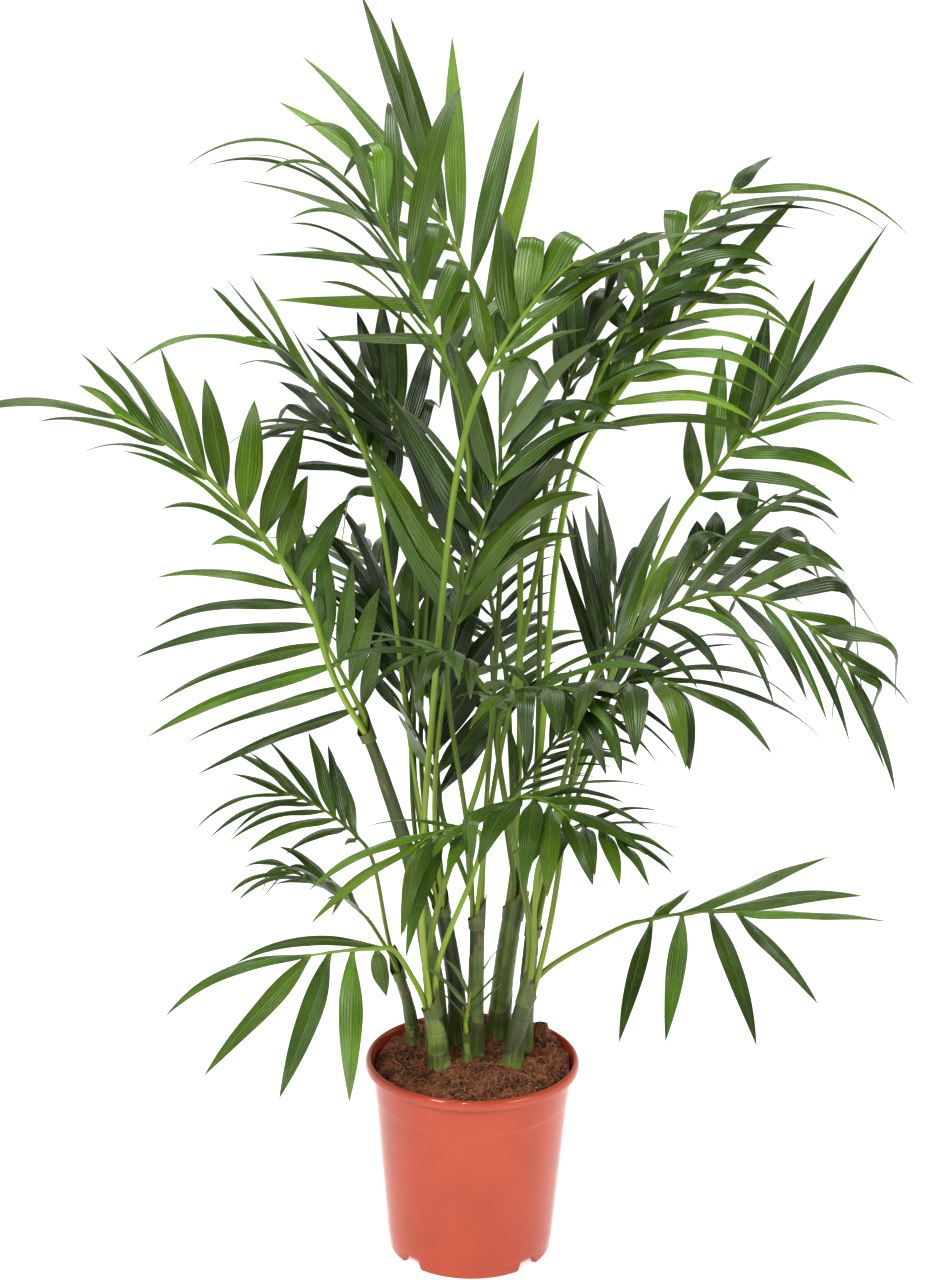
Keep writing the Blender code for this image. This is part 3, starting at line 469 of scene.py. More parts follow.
def leaf_width(share: float | Array) -> Array:
    """A leaflet's width as a share of its widest: narrow at the rib, long in the point.

    It rises as 1 - (1 - x)^2 up to the widest place and closes as 1 - y^1.9 beyond it.
    """
    rise = 1 - (1 - np.minimum(np.asarray(share, float) / WIDEST_SHARE, 1.0)) ** 2
    past = np.maximum((np.asarray(share, float) - WIDEST_SHARE) / (1 - WIDEST_SHARE), 0.0)
    return (ROOT_WIDTH_SHARE + (1 - ROOT_WIDTH_SHARE) * rise) * (1 - past ** 1.9)


@dataclass(frozen=True)
class Growth:
    """What one leaflet starts with: where it leaves the rib and the habit it has drawn."""

    start: Array
    frame: tuple[Array, Array, Array]
    hand: Hand
    share: float
    spread: float
    lift: float
    fall: float
    crease: tuple[int, float] | None
    length: float
    width: float

    def leaflet(self, more_lift: float, more_spread: float, part: float) -> Leaflet:
        """Lets the leaflet leave the rib at an angle, turn to the light and sag, step by step.

        Args:
            more_lift: Degrees added to the lift.
            more_spread: Degrees added to the spread.
            part: The share of the full length that it gets.

        Returns:
            The leaflet.
        """
        hand, length = self.hand.value, self.length * part
        forward, side, up = self.frame
        spread = math.radians(self.spread + more_spread)
        lift = math.radians(self.lift + more_lift)
        out = hand * side * math.cos(lift) + up * math.sin(lift)
        ahead = unit(forward * math.cos(spread) + out * math.sin(spread))
        across = unit(forward - ahead * (forward @ ahead))
        top = hand * np.cross(ahead, across)
        level = ahead * (1.0, 1.0, 0.0)
        pull = unit(DOWN + FALL_LEAN * level / max(np.linalg.norm(level), 0.2))
        centres, wides, tops = [self.start], [across], [top]
        for step in range(LEAF_STEPS):
            share = (step + 0.5) / LEAF_STEPS
            bent = unit(ahead + pull * self.fall * FALL_PACE * share ** 0.8 / LEAF_STEPS)
            if self.crease and abs(step - self.crease[0]) <= 1:
                fold = math.radians(self.crease[1]) * CREASE_PARTS[step - self.crease[0] + 1]
                bent = rotate(bent, hand * across, fold)
            axis = np.cross(ahead, bent)
            sine = min(np.linalg.norm(axis), 1.0)
            if sine > 1e-9:
                across = rotate(across, axis / sine, math.atan2(sine, ahead @ bent))
            ahead = bent
            across = unit(across - ahead * (across @ ahead))
            top = hand * np.cross(ahead, across)
            lit = ahead * (ahead @ DOWN) - DOWN
            if share < LIT_SHARE and top @ lit > -0.2:
                top = unit(top + lit * LIGHT_TURN / (LIT_SHARE * LEAF_STEPS))
                across = hand * np.cross(top, ahead)
            centres.append(centres[-1] + ahead * length / LEAF_STEPS)
            wides.append(across)
            tops.append(top)
        return Leaflet(np.array(centres), np.array(wides), np.array(tops), self.width, length,
                       self.share, self.hand)


@dataclass
class Clump:
    """Lets canes, stalks and leaflets take their places, each clear of what came before it."""

    canes: tuple[Cane, ...]
    fronds: tuple[Frond, ...]
    crowd: Crowd = field(default_factory=Crowd)
    stalks: dict[str, Stalk] = field(default_factory=dict)
    blades: dict[str, list[Leaflet]] = field(default_factory=dict)

    def grow(self) -> None:
        """Places all, in the order that the solids were placed in."""
        for cane in self.canes:
            self.crowd.add(*tube(cane.path(), cane.radii(), CANE_SIDES, (-DOWN, None)), cane.name)
        for frond in self.fronds:
            self.keep_rib(frond)
        for cane in self.canes:
            self.place_stalks(cane)
        for frond in self.fronds:
            self.blades[frond.name] = self.place_blade(frond)

    def keep_rib(self, frond: Frond) -> None:
        """Keeps the room of a rib before any leaflet is placed."""
        centres = frond.rib_frames(np.linspace(0.0, 1.0, RIB_TEST_RINGS)).centres
        taper = np.linspace(1.0, RIB_TIP_SHARE, RIB_TEST_RINGS)
        rooms = ((RIB_HALF_WIDTH, frond.name), (RIB_TEST_RADIUS, f"{frond.name} room"))
        for radius, owner in rooms:
            self.crowd.add(*tube(centres, radius * taper, 4), owner)

    def place_stalks(self, cane: Cane) -> None:
        """Seats the stalks of a cane, each on the side that its blade leans to."""

        def bearing(frond: Frond) -> float:
            """The direction of a blade from the cane's top, in radians."""
            across, away = frond.throat[0] - cane.top[0], frond.throat[1] - cane.top[1]
            return math.atan2(away, across) % (2 * math.pi)

        borne = sorted((frond for frond in self.fronds if frond.cane == cane.name), key=bearing)
        places, forward, room = cane.seats([bearing(frond) for frond in borne])
        for frond, seat in zip(borne, places):
            self.stalks[frond.name] = self.clear_stalk(frond, seat, forward, room)

    def clear_stalk(self, frond: Frond, seat: Array, forward: Array, room: float) -> Stalk:
        """The first course of a stalk, of the least shifts, that crosses nothing.

        Args:
            frond: The frond that the stalk bears.
            seat: Its place on the cane's mouth.
            forward: The direction that the mouth faces.
            room: The radius that the seat has.

        Returns:
            The stalk, which is now part of the crowd.
        """
        throat, middle, _ = frond.rib_controls()
        ends = (forward, unit(middle - throat))
        own = (frond.cane, frond.name, f"{frond.name} room")
        foot_radius, throat_radius = min(frond.stalk * 1.25, room), frond.stalk * 0.85
        for low, high in stalk_shifts():
            controls = frond.stalk_controls(seat, forward, low, high)
            stalk = Stalk(controls, foot_radius, throat_radius, ends)
            wide = tube(stalk.path(), stalk.radii() + TEST_MARGIN, STALK_SIDES, ends)
            if self.crowd.clear(*wide, own):
                break
        self.crowd.add(*tube(stalk.path(), stalk.radii(), STALK_SIDES, ends), frond.name)
        return stalk

    def place_blade(self, frond: Frond) -> list[Leaflet]:
        """Pairs of leaflets along a rib, the right one of each pair first.

        Args:
            frond: The frond whose leaflets are placed.

        Returns:
            The leaflets that found room.
        """
        chance = random.Random(frond.name)
        length = frond.rib_frames([0.0]).length
        half = BASE_HALF_LENGTH / length
        shares = [0.0]
        for place in frond.pair_shares(length):
            shares += [place - half, place + half * 0.9]
        rib = frond.rib_frames(shares)
        taper = (1 + (RIB_TIP_SHARE - 1) * np.asarray(shares)) * min(frond.stalk / RIB_STALK, 1.3)
        wide = rib.side * (RIB_HALF_WIDTH * taper)[:, None]
        high = rib.up * (RIB_HALF_HEIGHT * taper)[:, None]
        corners = np.stack([wide + high, wide - high, -wide - high, -wide + high], axis=1)
        points = (rib.centres[:, None] + corners).reshape(-1, 3)
        placed = []
        for k in range(1, len(shares) - 1, 2):
            a, b = 4 * k, 4 * (k + 1)
            ways = (unit(rib.forward[k] + rib.forward[k + 1]), rib.side[k], rib.up[k])
            roots = ((Hand.RIGHT, (a, b, b + 1, a + 1)), (Hand.LEFT, (a + 3, b + 3, b + 2, a + 2)))
            for hand, quad in roots:
                share = k // 2 / (frond.pairs - 1)
                leaflet = self.place_leaflet(frond, points[list(quad)], ways, hand, share, chance)
                if leaflet is not None:
                    placed.append(leaflet)
        return placed

    def place_leaflet(self, frond: Frond, root: Array, ways: tuple[Array, Array, Array],
                      hand: Hand, share: float, chance: random.Random) -> Leaflet | None:
        """Draws a leaflet's habit and gives it the first way that is clear of the others.

        Args:
            frond: The frond that it belongs to.
            root: The four corners of its root on the rib.
            ways: The forward, side and up directions there.
            hand: Its side of the rib.
            share: Its place along the rib, from 0 to 1.
            chance: The frond's own dice.

        Returns:
            The leaflet, or None where every way is taken.
        """
        habit = frond.right if hand is Hand.RIGHT else frond.left
        spread = habit.spread * (1 + (habit.close - 1) * share ** 1.2) + chance.gauss(0, 3.0)
        lift = habit.lift + chance.gauss(0, 6)
        fall = habit.fall * chance.uniform(0.6, 1.4) * (0.85 + 0.4 * share)
        bulge = math.sin(math.pi * min(share / 0.9, 1.0)) ** 0.7 if share < 0.9 else 0.0
        ends = habit.base + (habit.tip - habit.base) * share
        length = frond.leaf * habit.size * (ends + (1 - ends) * bulge) * chance.uniform(0.92, 1.06)
        width = frond.width * habit.wide * (0.82 + 0.18 * bulge) * chance.uniform(0.9, 1.08)
        crease = None
        if chance.random() < habit.crease:
            crease = (chance.choice((5, 6, 7)), chance.uniform(60, 110))
        growth = Growth(root.mean(axis=0), ways, hand, share, spread, lift, fall, crease,
                        length, width)
        for more_lift, more_spread, part in LEAF_TRIES:
            leaflet = growth.leaflet(more_lift, more_spread, part)
            shape = leaflet.test_shape(root)
            if self.crowd.clear(*shape, (f"{frond.name} room",)):
                self.crowd.add(*shape, "leaflet")
                return leaflet
        return None


def stalk_shifts() -> list[tuple[Array, Array]]:
    """Sideways shifts of the lower and the upper part of a stalk, the smallest pairs first."""
    single = [np.zeros(3)]
    for reach in STALK_SHIFTS:
        for k in range(8):
            angle = 2 * math.pi * k / 8
            single.append(np.array([reach * math.cos(angle), reach * math.sin(angle), 0.0]))
    pairs = [(low, high) for low in single for high in single]
    pairs.sort(key=lambda pair: np.linalg.norm(pair[0]) * 1.5 + np.linalg.norm(pair[1]))
    return pairs


CANES = (
    Cane("cane_front_left", (-0.037, -0.012), (-0.045, -0.012, 0.285), 0.0115, 0.0100),
    Cane("cane_back_left", (-0.068, 0.052), (-0.084, 0.054, 0.300), 0.0072, 0.0068),
    Cane("cane_main_left", (-0.040, 0.024), (-0.118, 0.000, 0.600), 0.0105, 0.0080),
    Cane("cane_inner_left", (-0.016, 0.046), (-0.036, 0.040, 0.385), 0.0105, 0.0090),
    Cane("cane_centre", (0.003, 0.022), (0.003, 0.026, 0.375), 0.0092, 0.0088),
    Cane("cane_back_centre", (0.030, 0.064), (0.044, 0.064, 0.372), 0.0125, 0.0118),
    Cane("cane_front_right", (0.045, -0.004), (0.058, -0.002, 0.296), 0.0112, 0.0098),
    Cane("cane_back_right", (0.058, 0.038), (0.066, 0.042, 0.360), 0.0095, 0.0088),
    Cane("cane_sucker", (-0.006, 0.000), (-0.007, -0.002, 0.252), 0.0050, 0.0042),
)

FRONDS = (
    # The left of the crown.
    Frond("great_left", "cane_main_left", (-0.185, -0.020, 0.765), (-0.370, -0.080, 0.962),
          bow=0.050, roll=48, pairs=10, leaf=0.170, width=0.027, stalk=0.0046, light=0.55,
          left=Side(spread=10, close=1.0, lift=2, fall=0.9, crease=0.0, size=0.9, wide=0.85, base=0.15,
                    tip=1.1),
          right=Side(spread=84, close=-0.05, lift=5, fall=0.3, crease=0.0, size=0.85, wide=1.1,
                     base=0.95, tip=0.55)),
    Frond("back_left", "cane_main_left", (-0.122, 0.000, 0.622), (-0.200, 0.030, 0.760),
          bow=0.005, roll=60, pairs=7, leaf=0.205, width=0.024,
          left=Side(spread=78, close=0.6, lift=5, fall=0.5, crease=0.0, wide=0.8, base=0.95, tip=0.75),
          right=Side(spread=40, close=0.5, lift=10, fall=0.3, crease=0.0, size=0.6)),
    Frond("high_left", "cane_inner_left", (-0.145, 0.060, 0.938), (-0.220, 0.005, 1.022),
          bow=0.012, roll=50, pairs=6, leaf=0.150, width=0.023, stalk=0.0038, light=0.6,
          left=Side(spread=20, close=0.9, lift=12, fall=0.8, crease=0.0, size=1.1, base=0.4, tip=1.2),
          right=Side(spread=20, close=0.4, lift=8, fall=0.05, crease=0.0, size=0.85, tip=0.8)),
    Frond("fan_left", "cane_inner_left", (-0.090, 0.100, 0.840), (-0.180, 0.135, 0.920),
          bow=0.030, roll=20, pairs=6, leaf=0.150, whole=True, light=0.2,
          left=Side(spread=55, close=0.5, lift=5, fall=0.7), right=Side(spread=45, lift=10, fall=0.4)),
    Frond("back_dark", "cane_inner_left", (-0.074, 0.130, 0.875), (-0.120, 0.170, 0.960),
          bow=0.005, roll=30, pairs=6, leaf=0.140, width=0.022, whole=True, light=0.1,
          left=Side(spread=34, lift=10, fall=0.1), right=Side(spread=40, lift=10, fall=0.1)),
    # The top of the crown.
    Frond("crown_front", "cane_inner_left", (-0.026, -0.030, 0.985), (-0.111, -0.080, 1.176),
          bow=0.015, roll=62, pairs=8, leaf=0.230, width=0.027, stalk=0.0042,
          left=Side(spread=25, close=1.0, lift=8, fall=0.9, crease=0.0, size=1.15, wide=0.6,
                    base=0.9, tip=0.95),
          right=Side(spread=70, close=0.35, lift=8, fall=1.3, crease=0.35, base=1.05, tip=0.55)),
    Frond("crown_back", "cane_back_centre", (0.019, 0.080, 1.008), (-0.061, 0.145, 1.170),
          bow=0.010, roll=62, pairs=6, leaf=0.245, width=0.028, stalk=0.0042, light=0.6,
          left=Side(spread=66, close=0.15, lift=5, fall=0.2, crease=0.0, size=1.05, base=0.75, tip=0.9),
          right=Side(spread=47, close=0.18, lift=5, fall=0.05, crease=0.0, size=0.95, tip=1.05)),
    Frond("crown_inner_right", "cane_front_left", (0.004, -0.048, 1.000), (0.098, -0.010, 1.115),
          bow=0.030, roll=-40, pairs=8, leaf=0.150, width=0.030, stalk=0.0040,
          left=Side(spread=40, close=0.5, lift=8, fall=0.5, crease=0.35),
          right=Side(spread=30, close=0.6, lift=5, fall=0.5, crease=0.2, tip=0.9)),
    Frond("centre_front", "cane_centre", (-0.028, -0.035, 0.728), (0.026, -0.018, 0.914),
          bow=0.010, roll=-68, pairs=7, leaf=0.190, width=0.032, light=0.25,
          left=Side(spread=46, close=0.5, lift=5, fall=0.15, crease=0.0, base=1.0, tip=0.9),
          right=Side(spread=14, close=1.0, lift=8, fall=1.2, crease=0.1, base=0.9, tip=0.75)),
    Frond("centre_inner", "cane_centre", (0.022, 0.010, 0.800), (0.018, -0.045, 1.005),
          bow=0.035, roll=0, pairs=8, leaf=0.170, width=0.030, light=0.2,
          left=Side(spread=38, lift=12, fall=0.5, crease=0.2),
          right=Side(spread=38, lift=12, fall=0.6, crease=0.3)),
    Frond("centre_dark", "cane_centre", (-0.040, 0.062, 0.505), (-0.058, 0.088, 0.665),
          bow=0.010, roll=0, pairs=8, leaf=0.190, width=0.031, whole=True, light=0.08,
          left=Side(spread=40, close=0.4, lift=8, fall=0.5, base=1.0),
          right=Side(spread=44, close=0.4, lift=8, fall=0.5, base=1.0)),
    Frond("inner_right", "cane_back_centre", (0.086, 0.060, 0.956), (0.129, 0.050, 1.070),
          bow=0.010, roll=-40, pairs=7, leaf=0.120, width=0.024, whole=True, light=0.2,
          left=Side(spread=40, lift=8, fall=0.5, crease=0.4),
          right=Side(spread=30, lift=8, fall=0.4, crease=0.2)),
    # The right of the crown.
    Frond("high_right", "cane_centre", (0.099, 0.030, 0.932), (0.268, 0.110, 1.180),
          bow=0.075, roll=-50, pairs=10, leaf=0.130, width=0.026, stalk=0.0044, light=0.45,
          left=Side(spread=74, close=0.15, lift=8, fall=0.6, crease=0.75, size=0.85, tip=0.65),
          right=Side(spread=30, close=1.0, lift=5, fall=1.1, crease=0.0, base=0.35, tip=1.65)),
    Frond("right_back", "cane_back_centre", (0.117, 0.030, 0.928), (0.270, 0.080, 1.100),
          bow=0.035, roll=-48, pairs=9, leaf=0.150, width=0.029, stalk=0.0040, light=0.75,
          left=Side(spread=34, close=0.2, lift=8, fall=0.05, crease=0.0, size=0.95, base=0.8, tip=1.1),
          right=Side(spread=48, close=0.5, lift=2, fall=1.3, crease=0.0, wide=0.75, base=1.25, tip=0.25)),
    Frond("far_right", "cane_back_right", (0.235, 0.140, 0.836), (0.330, 0.168, 0.945),
          bow=0.004, roll=-45, pairs=6, leaf=0.165, width=0.026, stalk=0.0040, light=0.55,
          left=Side(spread=42, close=0.3, lift=8, fall=0.1, crease=0.0, size=0.85, base=0.65, tip=1.8),
          right=Side(spread=58, close=0.25, lift=5, fall=1.0, crease=0.0, size=0.9, base=0.6, tip=1.15)),
    Frond("great_right", "cane_back_right", (0.135, -0.030, 0.695), (0.378, -0.150, 0.722),
          bow=0.155, roll=-25, pairs=11, leaf=0.190, width=0.028, stalk=0.0046, light=0.35,
          left=Side(spread=46, close=0.7, lift=22, fall=0.8, crease=0.75, size=1.1, base=0.7, tip=0.45),
          right=Side(spread=50, close=0.4, lift=-5, fall=1.2, crease=0.0, size=0.85, wide=0.5,
                     base=0.9, tip=0.8)),
    Frond("upper_right", "cane_back_right", (0.220, 0.110, 0.742), (0.335, 0.180, 0.835),
          bow=0.015, roll=-30, pairs=7, leaf=0.130, light=0.2,
          left=Side(spread=30, lift=10, fall=0.5, crease=0.1, size=0.5),
          right=Side(spread=62, close=0.7, lift=5, fall=1.3, crease=0.1)),
    # The middle of the plant.
    Frond("mid_left", "cane_inner_left", (-0.075, 0.080, 0.590), (-0.100, 0.115, 0.740),
          bow=0.010, roll=20, pairs=7, leaf=0.170, width=0.024, whole=True, light=0.15,
          left=Side(spread=34, lift=10, fall=0.4), right=Side(spread=30, lift=10, fall=0.3)),
    Frond("comb_back", "cane_back_centre", (0.025, 0.100, 0.680), (0.010, 0.190, 0.830),
          bow=0.010, sway=0.020, roll=0, pairs=10, leaf=0.110, width=0.012, whole=True, light=0.15,
          left=Side(spread=50, close=0.7, lift=5, fall=0.5, crease=0.0),
          right=Side(spread=50, close=0.8, lift=10, fall=0.9, crease=0.0)),
    Frond("comb_right", "cane_back_centre", (0.040, 0.026, 0.525), (0.112, 0.068, 0.600),
          bow=0.010, roll=-30, pairs=8, leaf=0.110, width=0.013, whole=True, light=0.15,
          left=Side(spread=34, close=0.7, lift=5, fall=0.4, crease=0.0),
          right=Side(spread=34, close=0.7, lift=5, fall=0.8, crease=0.0)),
    Frond("low_front_left", "cane_front_left", (0.010, -0.030, 0.660), (-0.054, -0.120, 0.728),
          bow=0.030, roll=0, pairs=6, leaf=0.150, width=0.022, whole=True, light=0.45,
          left=Side(spread=48, lift=5, fall=1.4, crease=0.0), right=Side(spread=40, lift=10, fall=0.9)),
    Frond("back_low", "cane_back_centre", (0.020, 0.130, 0.580), (0.010, 0.330, 0.640),
          bow=0.060, roll=0, pairs=8, leaf=0.160, width=0.022, whole=True, light=0.25,
          left=Side(spread=55, lift=5, fall=0.7), right=Side(spread=55, lift=5, fall=0.7)),
    Frond("back_low_left", "cane_inner_left", (-0.060, 0.140, 0.640), (-0.150, 0.310, 0.740),
          bow=0.040, roll=0, pairs=8, leaf=0.160, width=0.022, whole=True, light=0.25,
          left=Side(spread=50, lift=10, fall=0.6), right=Side(spread=50, lift=10, fall=0.6)),
    Frond("back_low_right", "cane_back_right", (0.148, 0.130, 0.606), (0.160, 0.250, 0.716),
          bow=0.020, roll=0, pairs=7, leaf=0.205, width=0.022, whole=True, light=0.15,
          left=Side(spread=18, close=0.9, lift=18, fall=0.1, base=1.0, tip=0.8),
          right=Side(spread=18, close=0.9, lift=14, fall=0.2)),
    Frond("front_right", "cane_front_right", (0.125, -0.070, 0.658), (0.198, -0.150, 0.705),
          bow=0.035, roll=0, pairs=6, leaf=0.195, width=0.034, light=0.35,
          left=Side(spread=36, close=0.7, lift=5, fall=1.5, crease=0.0),
          right=Side(spread=50, close=0.5, lift=0, fall=1.8, crease=0.0, size=0.9)),
    Frond("front_centre", "cane_front_right", (0.029, -0.050, 0.646), (0.118, -0.170, 0.690),
          bow=0.045, sway=-0.010, roll=0, pairs=7, leaf=0.160, width=0.024, light=0.35,
          left=Side(spread=45, lift=5, fall=1.0), right=Side(spread=45, lift=5, fall=1.2)),
    # The young fronds near the pot, each one piece with its stalk.
    Frond("low_right", "cane_front_right", (0.072, -0.038, 0.480), (0.150, -0.140, 0.535),
          bow=0.050, sway=-0.010, roll=0, pairs=6, leaf=0.105, width=0.019, stalk=0.0030, whole=True,
          left=Side(spread=42, lift=10, fall=0.7), right=Side(spread=50, lift=0, fall=1.0)),
    Frond("young_right", "cane_front_right", (0.182, -0.030, 0.402), (0.288, -0.055, 0.424),
          bow=0.010, roll=-10, pairs=4, leaf=0.175, width=0.028, stalk=0.0032, whole=True, light=0.45,
          left=Side(spread=40, close=0.2, lift=8, fall=0.1, crease=0.0, base=0.35, tip=0.95),
          right=Side(spread=105, close=0.42, lift=-20, fall=0.4, crease=0.0, wide=0.8, base=0.8, tip=0.75)),
    Frond("low_centre", "cane_centre", (0.018, -0.045, 0.528), (0.095, -0.145, 0.560),
          bow=0.045, sway=-0.010, roll=0, pairs=6, leaf=0.140, width=0.028, stalk=0.0030,
          whole=True, light=0.6,
          left=Side(spread=45, lift=5, fall=0.8, crease=0.0),
          right=Side(spread=70, close=0.4, lift=0, fall=1.3, base=0.95)),
    Frond("low_left", "cane_front_left", (0.000, -0.045, 0.510), (-0.064, -0.120, 0.516),
          bow=0.020, roll=0, pairs=5, leaf=0.170, width=0.022, stalk=0.0030, whole=True, light=0.7,
          left=Side(spread=34, close=0.8, lift=0, fall=1.0, crease=0.0),
          right=Side(spread=18, lift=5, fall=0.5, crease=0.0, tip=0.9)),
    Frond("young_left", "cane_front_left", (-0.094, -0.065, 0.381), (-0.178, -0.122, 0.394),
          bow=0.004, roll=58, pairs=4, leaf=0.165, width=0.028, stalk=0.0032, whole=True, light=0.65,
          left=Side(spread=105, close=0.32, lift=0, fall=0.3, crease=0.0, base=0.3, tip=1.1),
          right=Side(spread=8, close=-0.6, lift=-12, fall=0.9, crease=0.0, wide=0.7, base=1.0, tip=1.0)),
    Frond("sucker", "cane_sucker", (-0.008, -0.004, 0.268), (-0.003, -0.018, 0.312),
          bow=0.000, roll=0, pairs=3, leaf=0.075, width=0.010, stalk=0.0026, whole=True, light=0.8,
          left=Side(spread=60, lift=30, fall=0.5, crease=0.0, base=0.9, tip=0.9),
          right=Side(spread=60, lift=30, fall=0.5, crease=0.0, base=0.9, tip=0.9)),
    Frond("side_left", "cane_back_left", (-0.120, 0.015, 0.385), (-0.205, -0.025, 0.452),
          bow=0.022, roll=10, pairs=7, leaf=0.125, width=0.016, stalk=0.0028, whole=True, light=0.35,
          left=Side(spread=32, lift=10, fall=0.8, crease=0.05),
          right=Side(spread=50, lift=15, fall=1.0, crease=0.4, size=0.75)),
    Frond("side_left_upper", "cane_back_left", (-0.125, 0.060, 0.455), (-0.212, 0.040, 0.520),
          bow=0.020, roll=30, pairs=7, leaf=0.130, width=0.020, stalk=0.0028, whole=True, light=0.4,
          left=Side(spread=50, lift=5, fall=0.9, crease=0.0, size=1.1, wide=0.7, base=0.2, tip=0.85),
          right=Side(spread=50, close=0.3, lift=10, fall=0.3, crease=0.0, size=0.85, base=0.8)),
)


@dataclass
class Skin:
    """Closed surfaces that go into one mesh, with a UV for each corner and a tone for each point.

    The tone holds three values: lightness, age (yellow, then dry) and a spare one that each
    finish names for itself.
    """

    points: Array
    quads: Array
    fans: Array
    quad_uv: Array
    fan_uv: Array
    tone: Array
    finish: int = 0


def sweep(rows: Array, across: Array, along: Array, tone: Array, finish: int = 0,
          poles: Array | None = None, looped: bool = False) -> Skin:
    """Skins profiles that are carried along paths.

    Each path is a grid of rows by places. The places close round, and each end is shut by a fan
    to a pole, or the last row joins the first one where the path is looped.

    Args:
        rows: Points by path, row and place, running round the way of travel as a right hand's
            fingers do round its thumb.
        across: The u of each place, with one more that closes the round.
        along: The v of each row, with one more where the path is looped.
        tone: Three values for each point of rows.
        finish: The material's place in the piece.
        poles: The two poles of each path, or None for the middle of its end rows.
        looped: Whether the last row joins the first.

    Returns:
        The skin of all paths together.
    """
    count, steps, places, _ = rows.shape
    stride = steps * places + (0 if looped else 2)
    points, tones = rows.reshape(count, -1, 3), tone.reshape(count, -1, 3)
    if not looped:
        poles = rows[:, (0, -1)].mean(axis=2) if poles is None else poles
        points = np.concatenate([points, poles], axis=1)
        tones = np.concatenate([tones, tone[:, (0, -1)].mean(axis=2)], axis=1)
    spans = steps if looped else steps - 1
    r, k = (grid.ravel() for grid in np.meshgrid(np.arange(spans), np.arange(places), indexing="ij"))
    after, above = (k + 1) % places, (r + 1) % steps
    quads = np.stack([r * places + k, r * places + after, above * places + after,
                      above * places + k], axis=-1)
    quad_uv = np.stack([across[k], along[r], across[k + 1], along[r],
                        across[k + 1], along[r + 1], across[k], along[r + 1]], axis=-1)
    turn = np.arange(0 if looped else places)
    onward, last = (turn + 1) % places, (steps - 1) * places
    fans = np.concatenate([
        np.stack([onward, turn, np.full_like(turn, stride - 2)], axis=-1),
        np.stack([last + turn, last + onward, np.full_like(turn, stride - 1)], axis=-1),
    ])
    middle = (across[turn] + across[turn + 1]) / 2
    low, high = np.full(len(turn), along[0]), np.full(len(turn), along[-1])
    fan_uv = np.concatenate([
        np.stack([across[turn + 1], low, across[turn], low, middle, low], axis=-1),
        np.stack([across[turn], high, across[turn + 1], high, middle, high], axis=-1),
    ])
    offsets = (np.arange(count) * stride)[:, None, None]
    return Skin(points.reshape(-1, 3), (quads + offsets).reshape(-1, 4),
                (fans + offsets).reshape(-1, 3), np.tile(quad_uv, (count, 1)),
                np.tile(fan_uv, (count, 1)), tones.reshape(-1, 3), finish)


def cut_alike(skin: Skin, places: int) -> Skin:
    """Cuts a thin plate's quads in two along diagonals that face each other.

    The first half of the places runs over the plate and the second half back under it, so the one
    half is cut from corner 0 to 2 and the other from corner 1 to 3. However much the plate is
    twisted, its two sides then keep their distance.

    Args:
        skin: The plate as swept.
        places: How many places its profile has.

    Returns:
        The same skin in triangles.
    """
    over = (np.arange(len(skin.quads)) % places < places // 2)[:, None]
    first = np.where(over, [0, 1, 2], [0, 1, 3])
    second = np.where(over, [0, 2, 3], [1, 2, 3])
    corners = skin.quad_uv.reshape(-1, 4, 2)
    fans, uvs = [skin.fans], [skin.fan_uv]
    for picked in (first, second):
        fans.append(np.take_along_axis(skin.quads, picked, axis=1))
        uvs.append(np.take_along_axis(corners, picked[..., None], axis=1).reshape(-1, 6))
    return Skin(skin.points, skin.quads[:0], np.concatenate(fans), skin.quad_uv[:0],
                np.concatenate(uvs), skin.tone, skin.finish)


def spline_weights(knots: int, places: Array) -> Array:
    """Weights that carry values at even knots to other places by a smooth cubic.

    Between two knots the value follows the Catmull-Rom cubic of the four knots around, and beyond
    each end stands a knot that goes straight on.

    Args:
        knots: How many knots there are.
        places: The places wanted, from 0 to 1.

    Returns:
        One row of weights for each place.
    """
    t = np.asarray(places) * (knots - 1)
    first = np.clip(np.floor(t).astype(int), 0, knots - 2)
    s = t - first
    cubic = np.stack([-s / 2 + s ** 2 - s ** 3 / 2, 1 - 2.5 * s ** 2 + 1.5 * s ** 3,
                      s / 2 + 2 * s ** 2 - 1.5 * s ** 3, (s ** 3 - s ** 2) / 2], axis=1)
    weights = np.zeros((len(t), knots + 2))
    np.add.at(weights, (np.arange(len(t))[:, None], first[:, None] + np.arange(4)), cubic)
    weights[:, 1] += 2 * weights[:, 0]
    weights[:, 2] -= weights[:, 0]
    weights[:, -2] += 2 * weights[:, -1]
    weights[:, -3] -= weights[:, -1]
    return weights[:, 1:-1]


@dataclass(frozen=True)
class ValueNoise:
    """A smooth random field over a plane: random values at whole places, blended by 3x^2 - 2x^3."""

    seed: int
    size: int = 64

    def at(self, x: Array, y: Array) -> Array:
        """The field at some places, from -1 to 1."""
        grid = np.random.default_rng(self.seed).uniform(-1.0, 1.0, (self.size, self.size))
        i, j = np.floor(x).astype(int), np.floor(y).astype(int)
        s, t = smooth(x - i), smooth(y - j)
        i, j, i1, j1 = i % self.size, j % self.size, (i + 1) % self.size, (j + 1) % self.size
        low = grid[i, j] * (1 - s) + grid[i1, j] * s
        high = grid[i, j1] * (1 - s) + grid[i1, j1] * s
        return low * (1 - t) + high * t


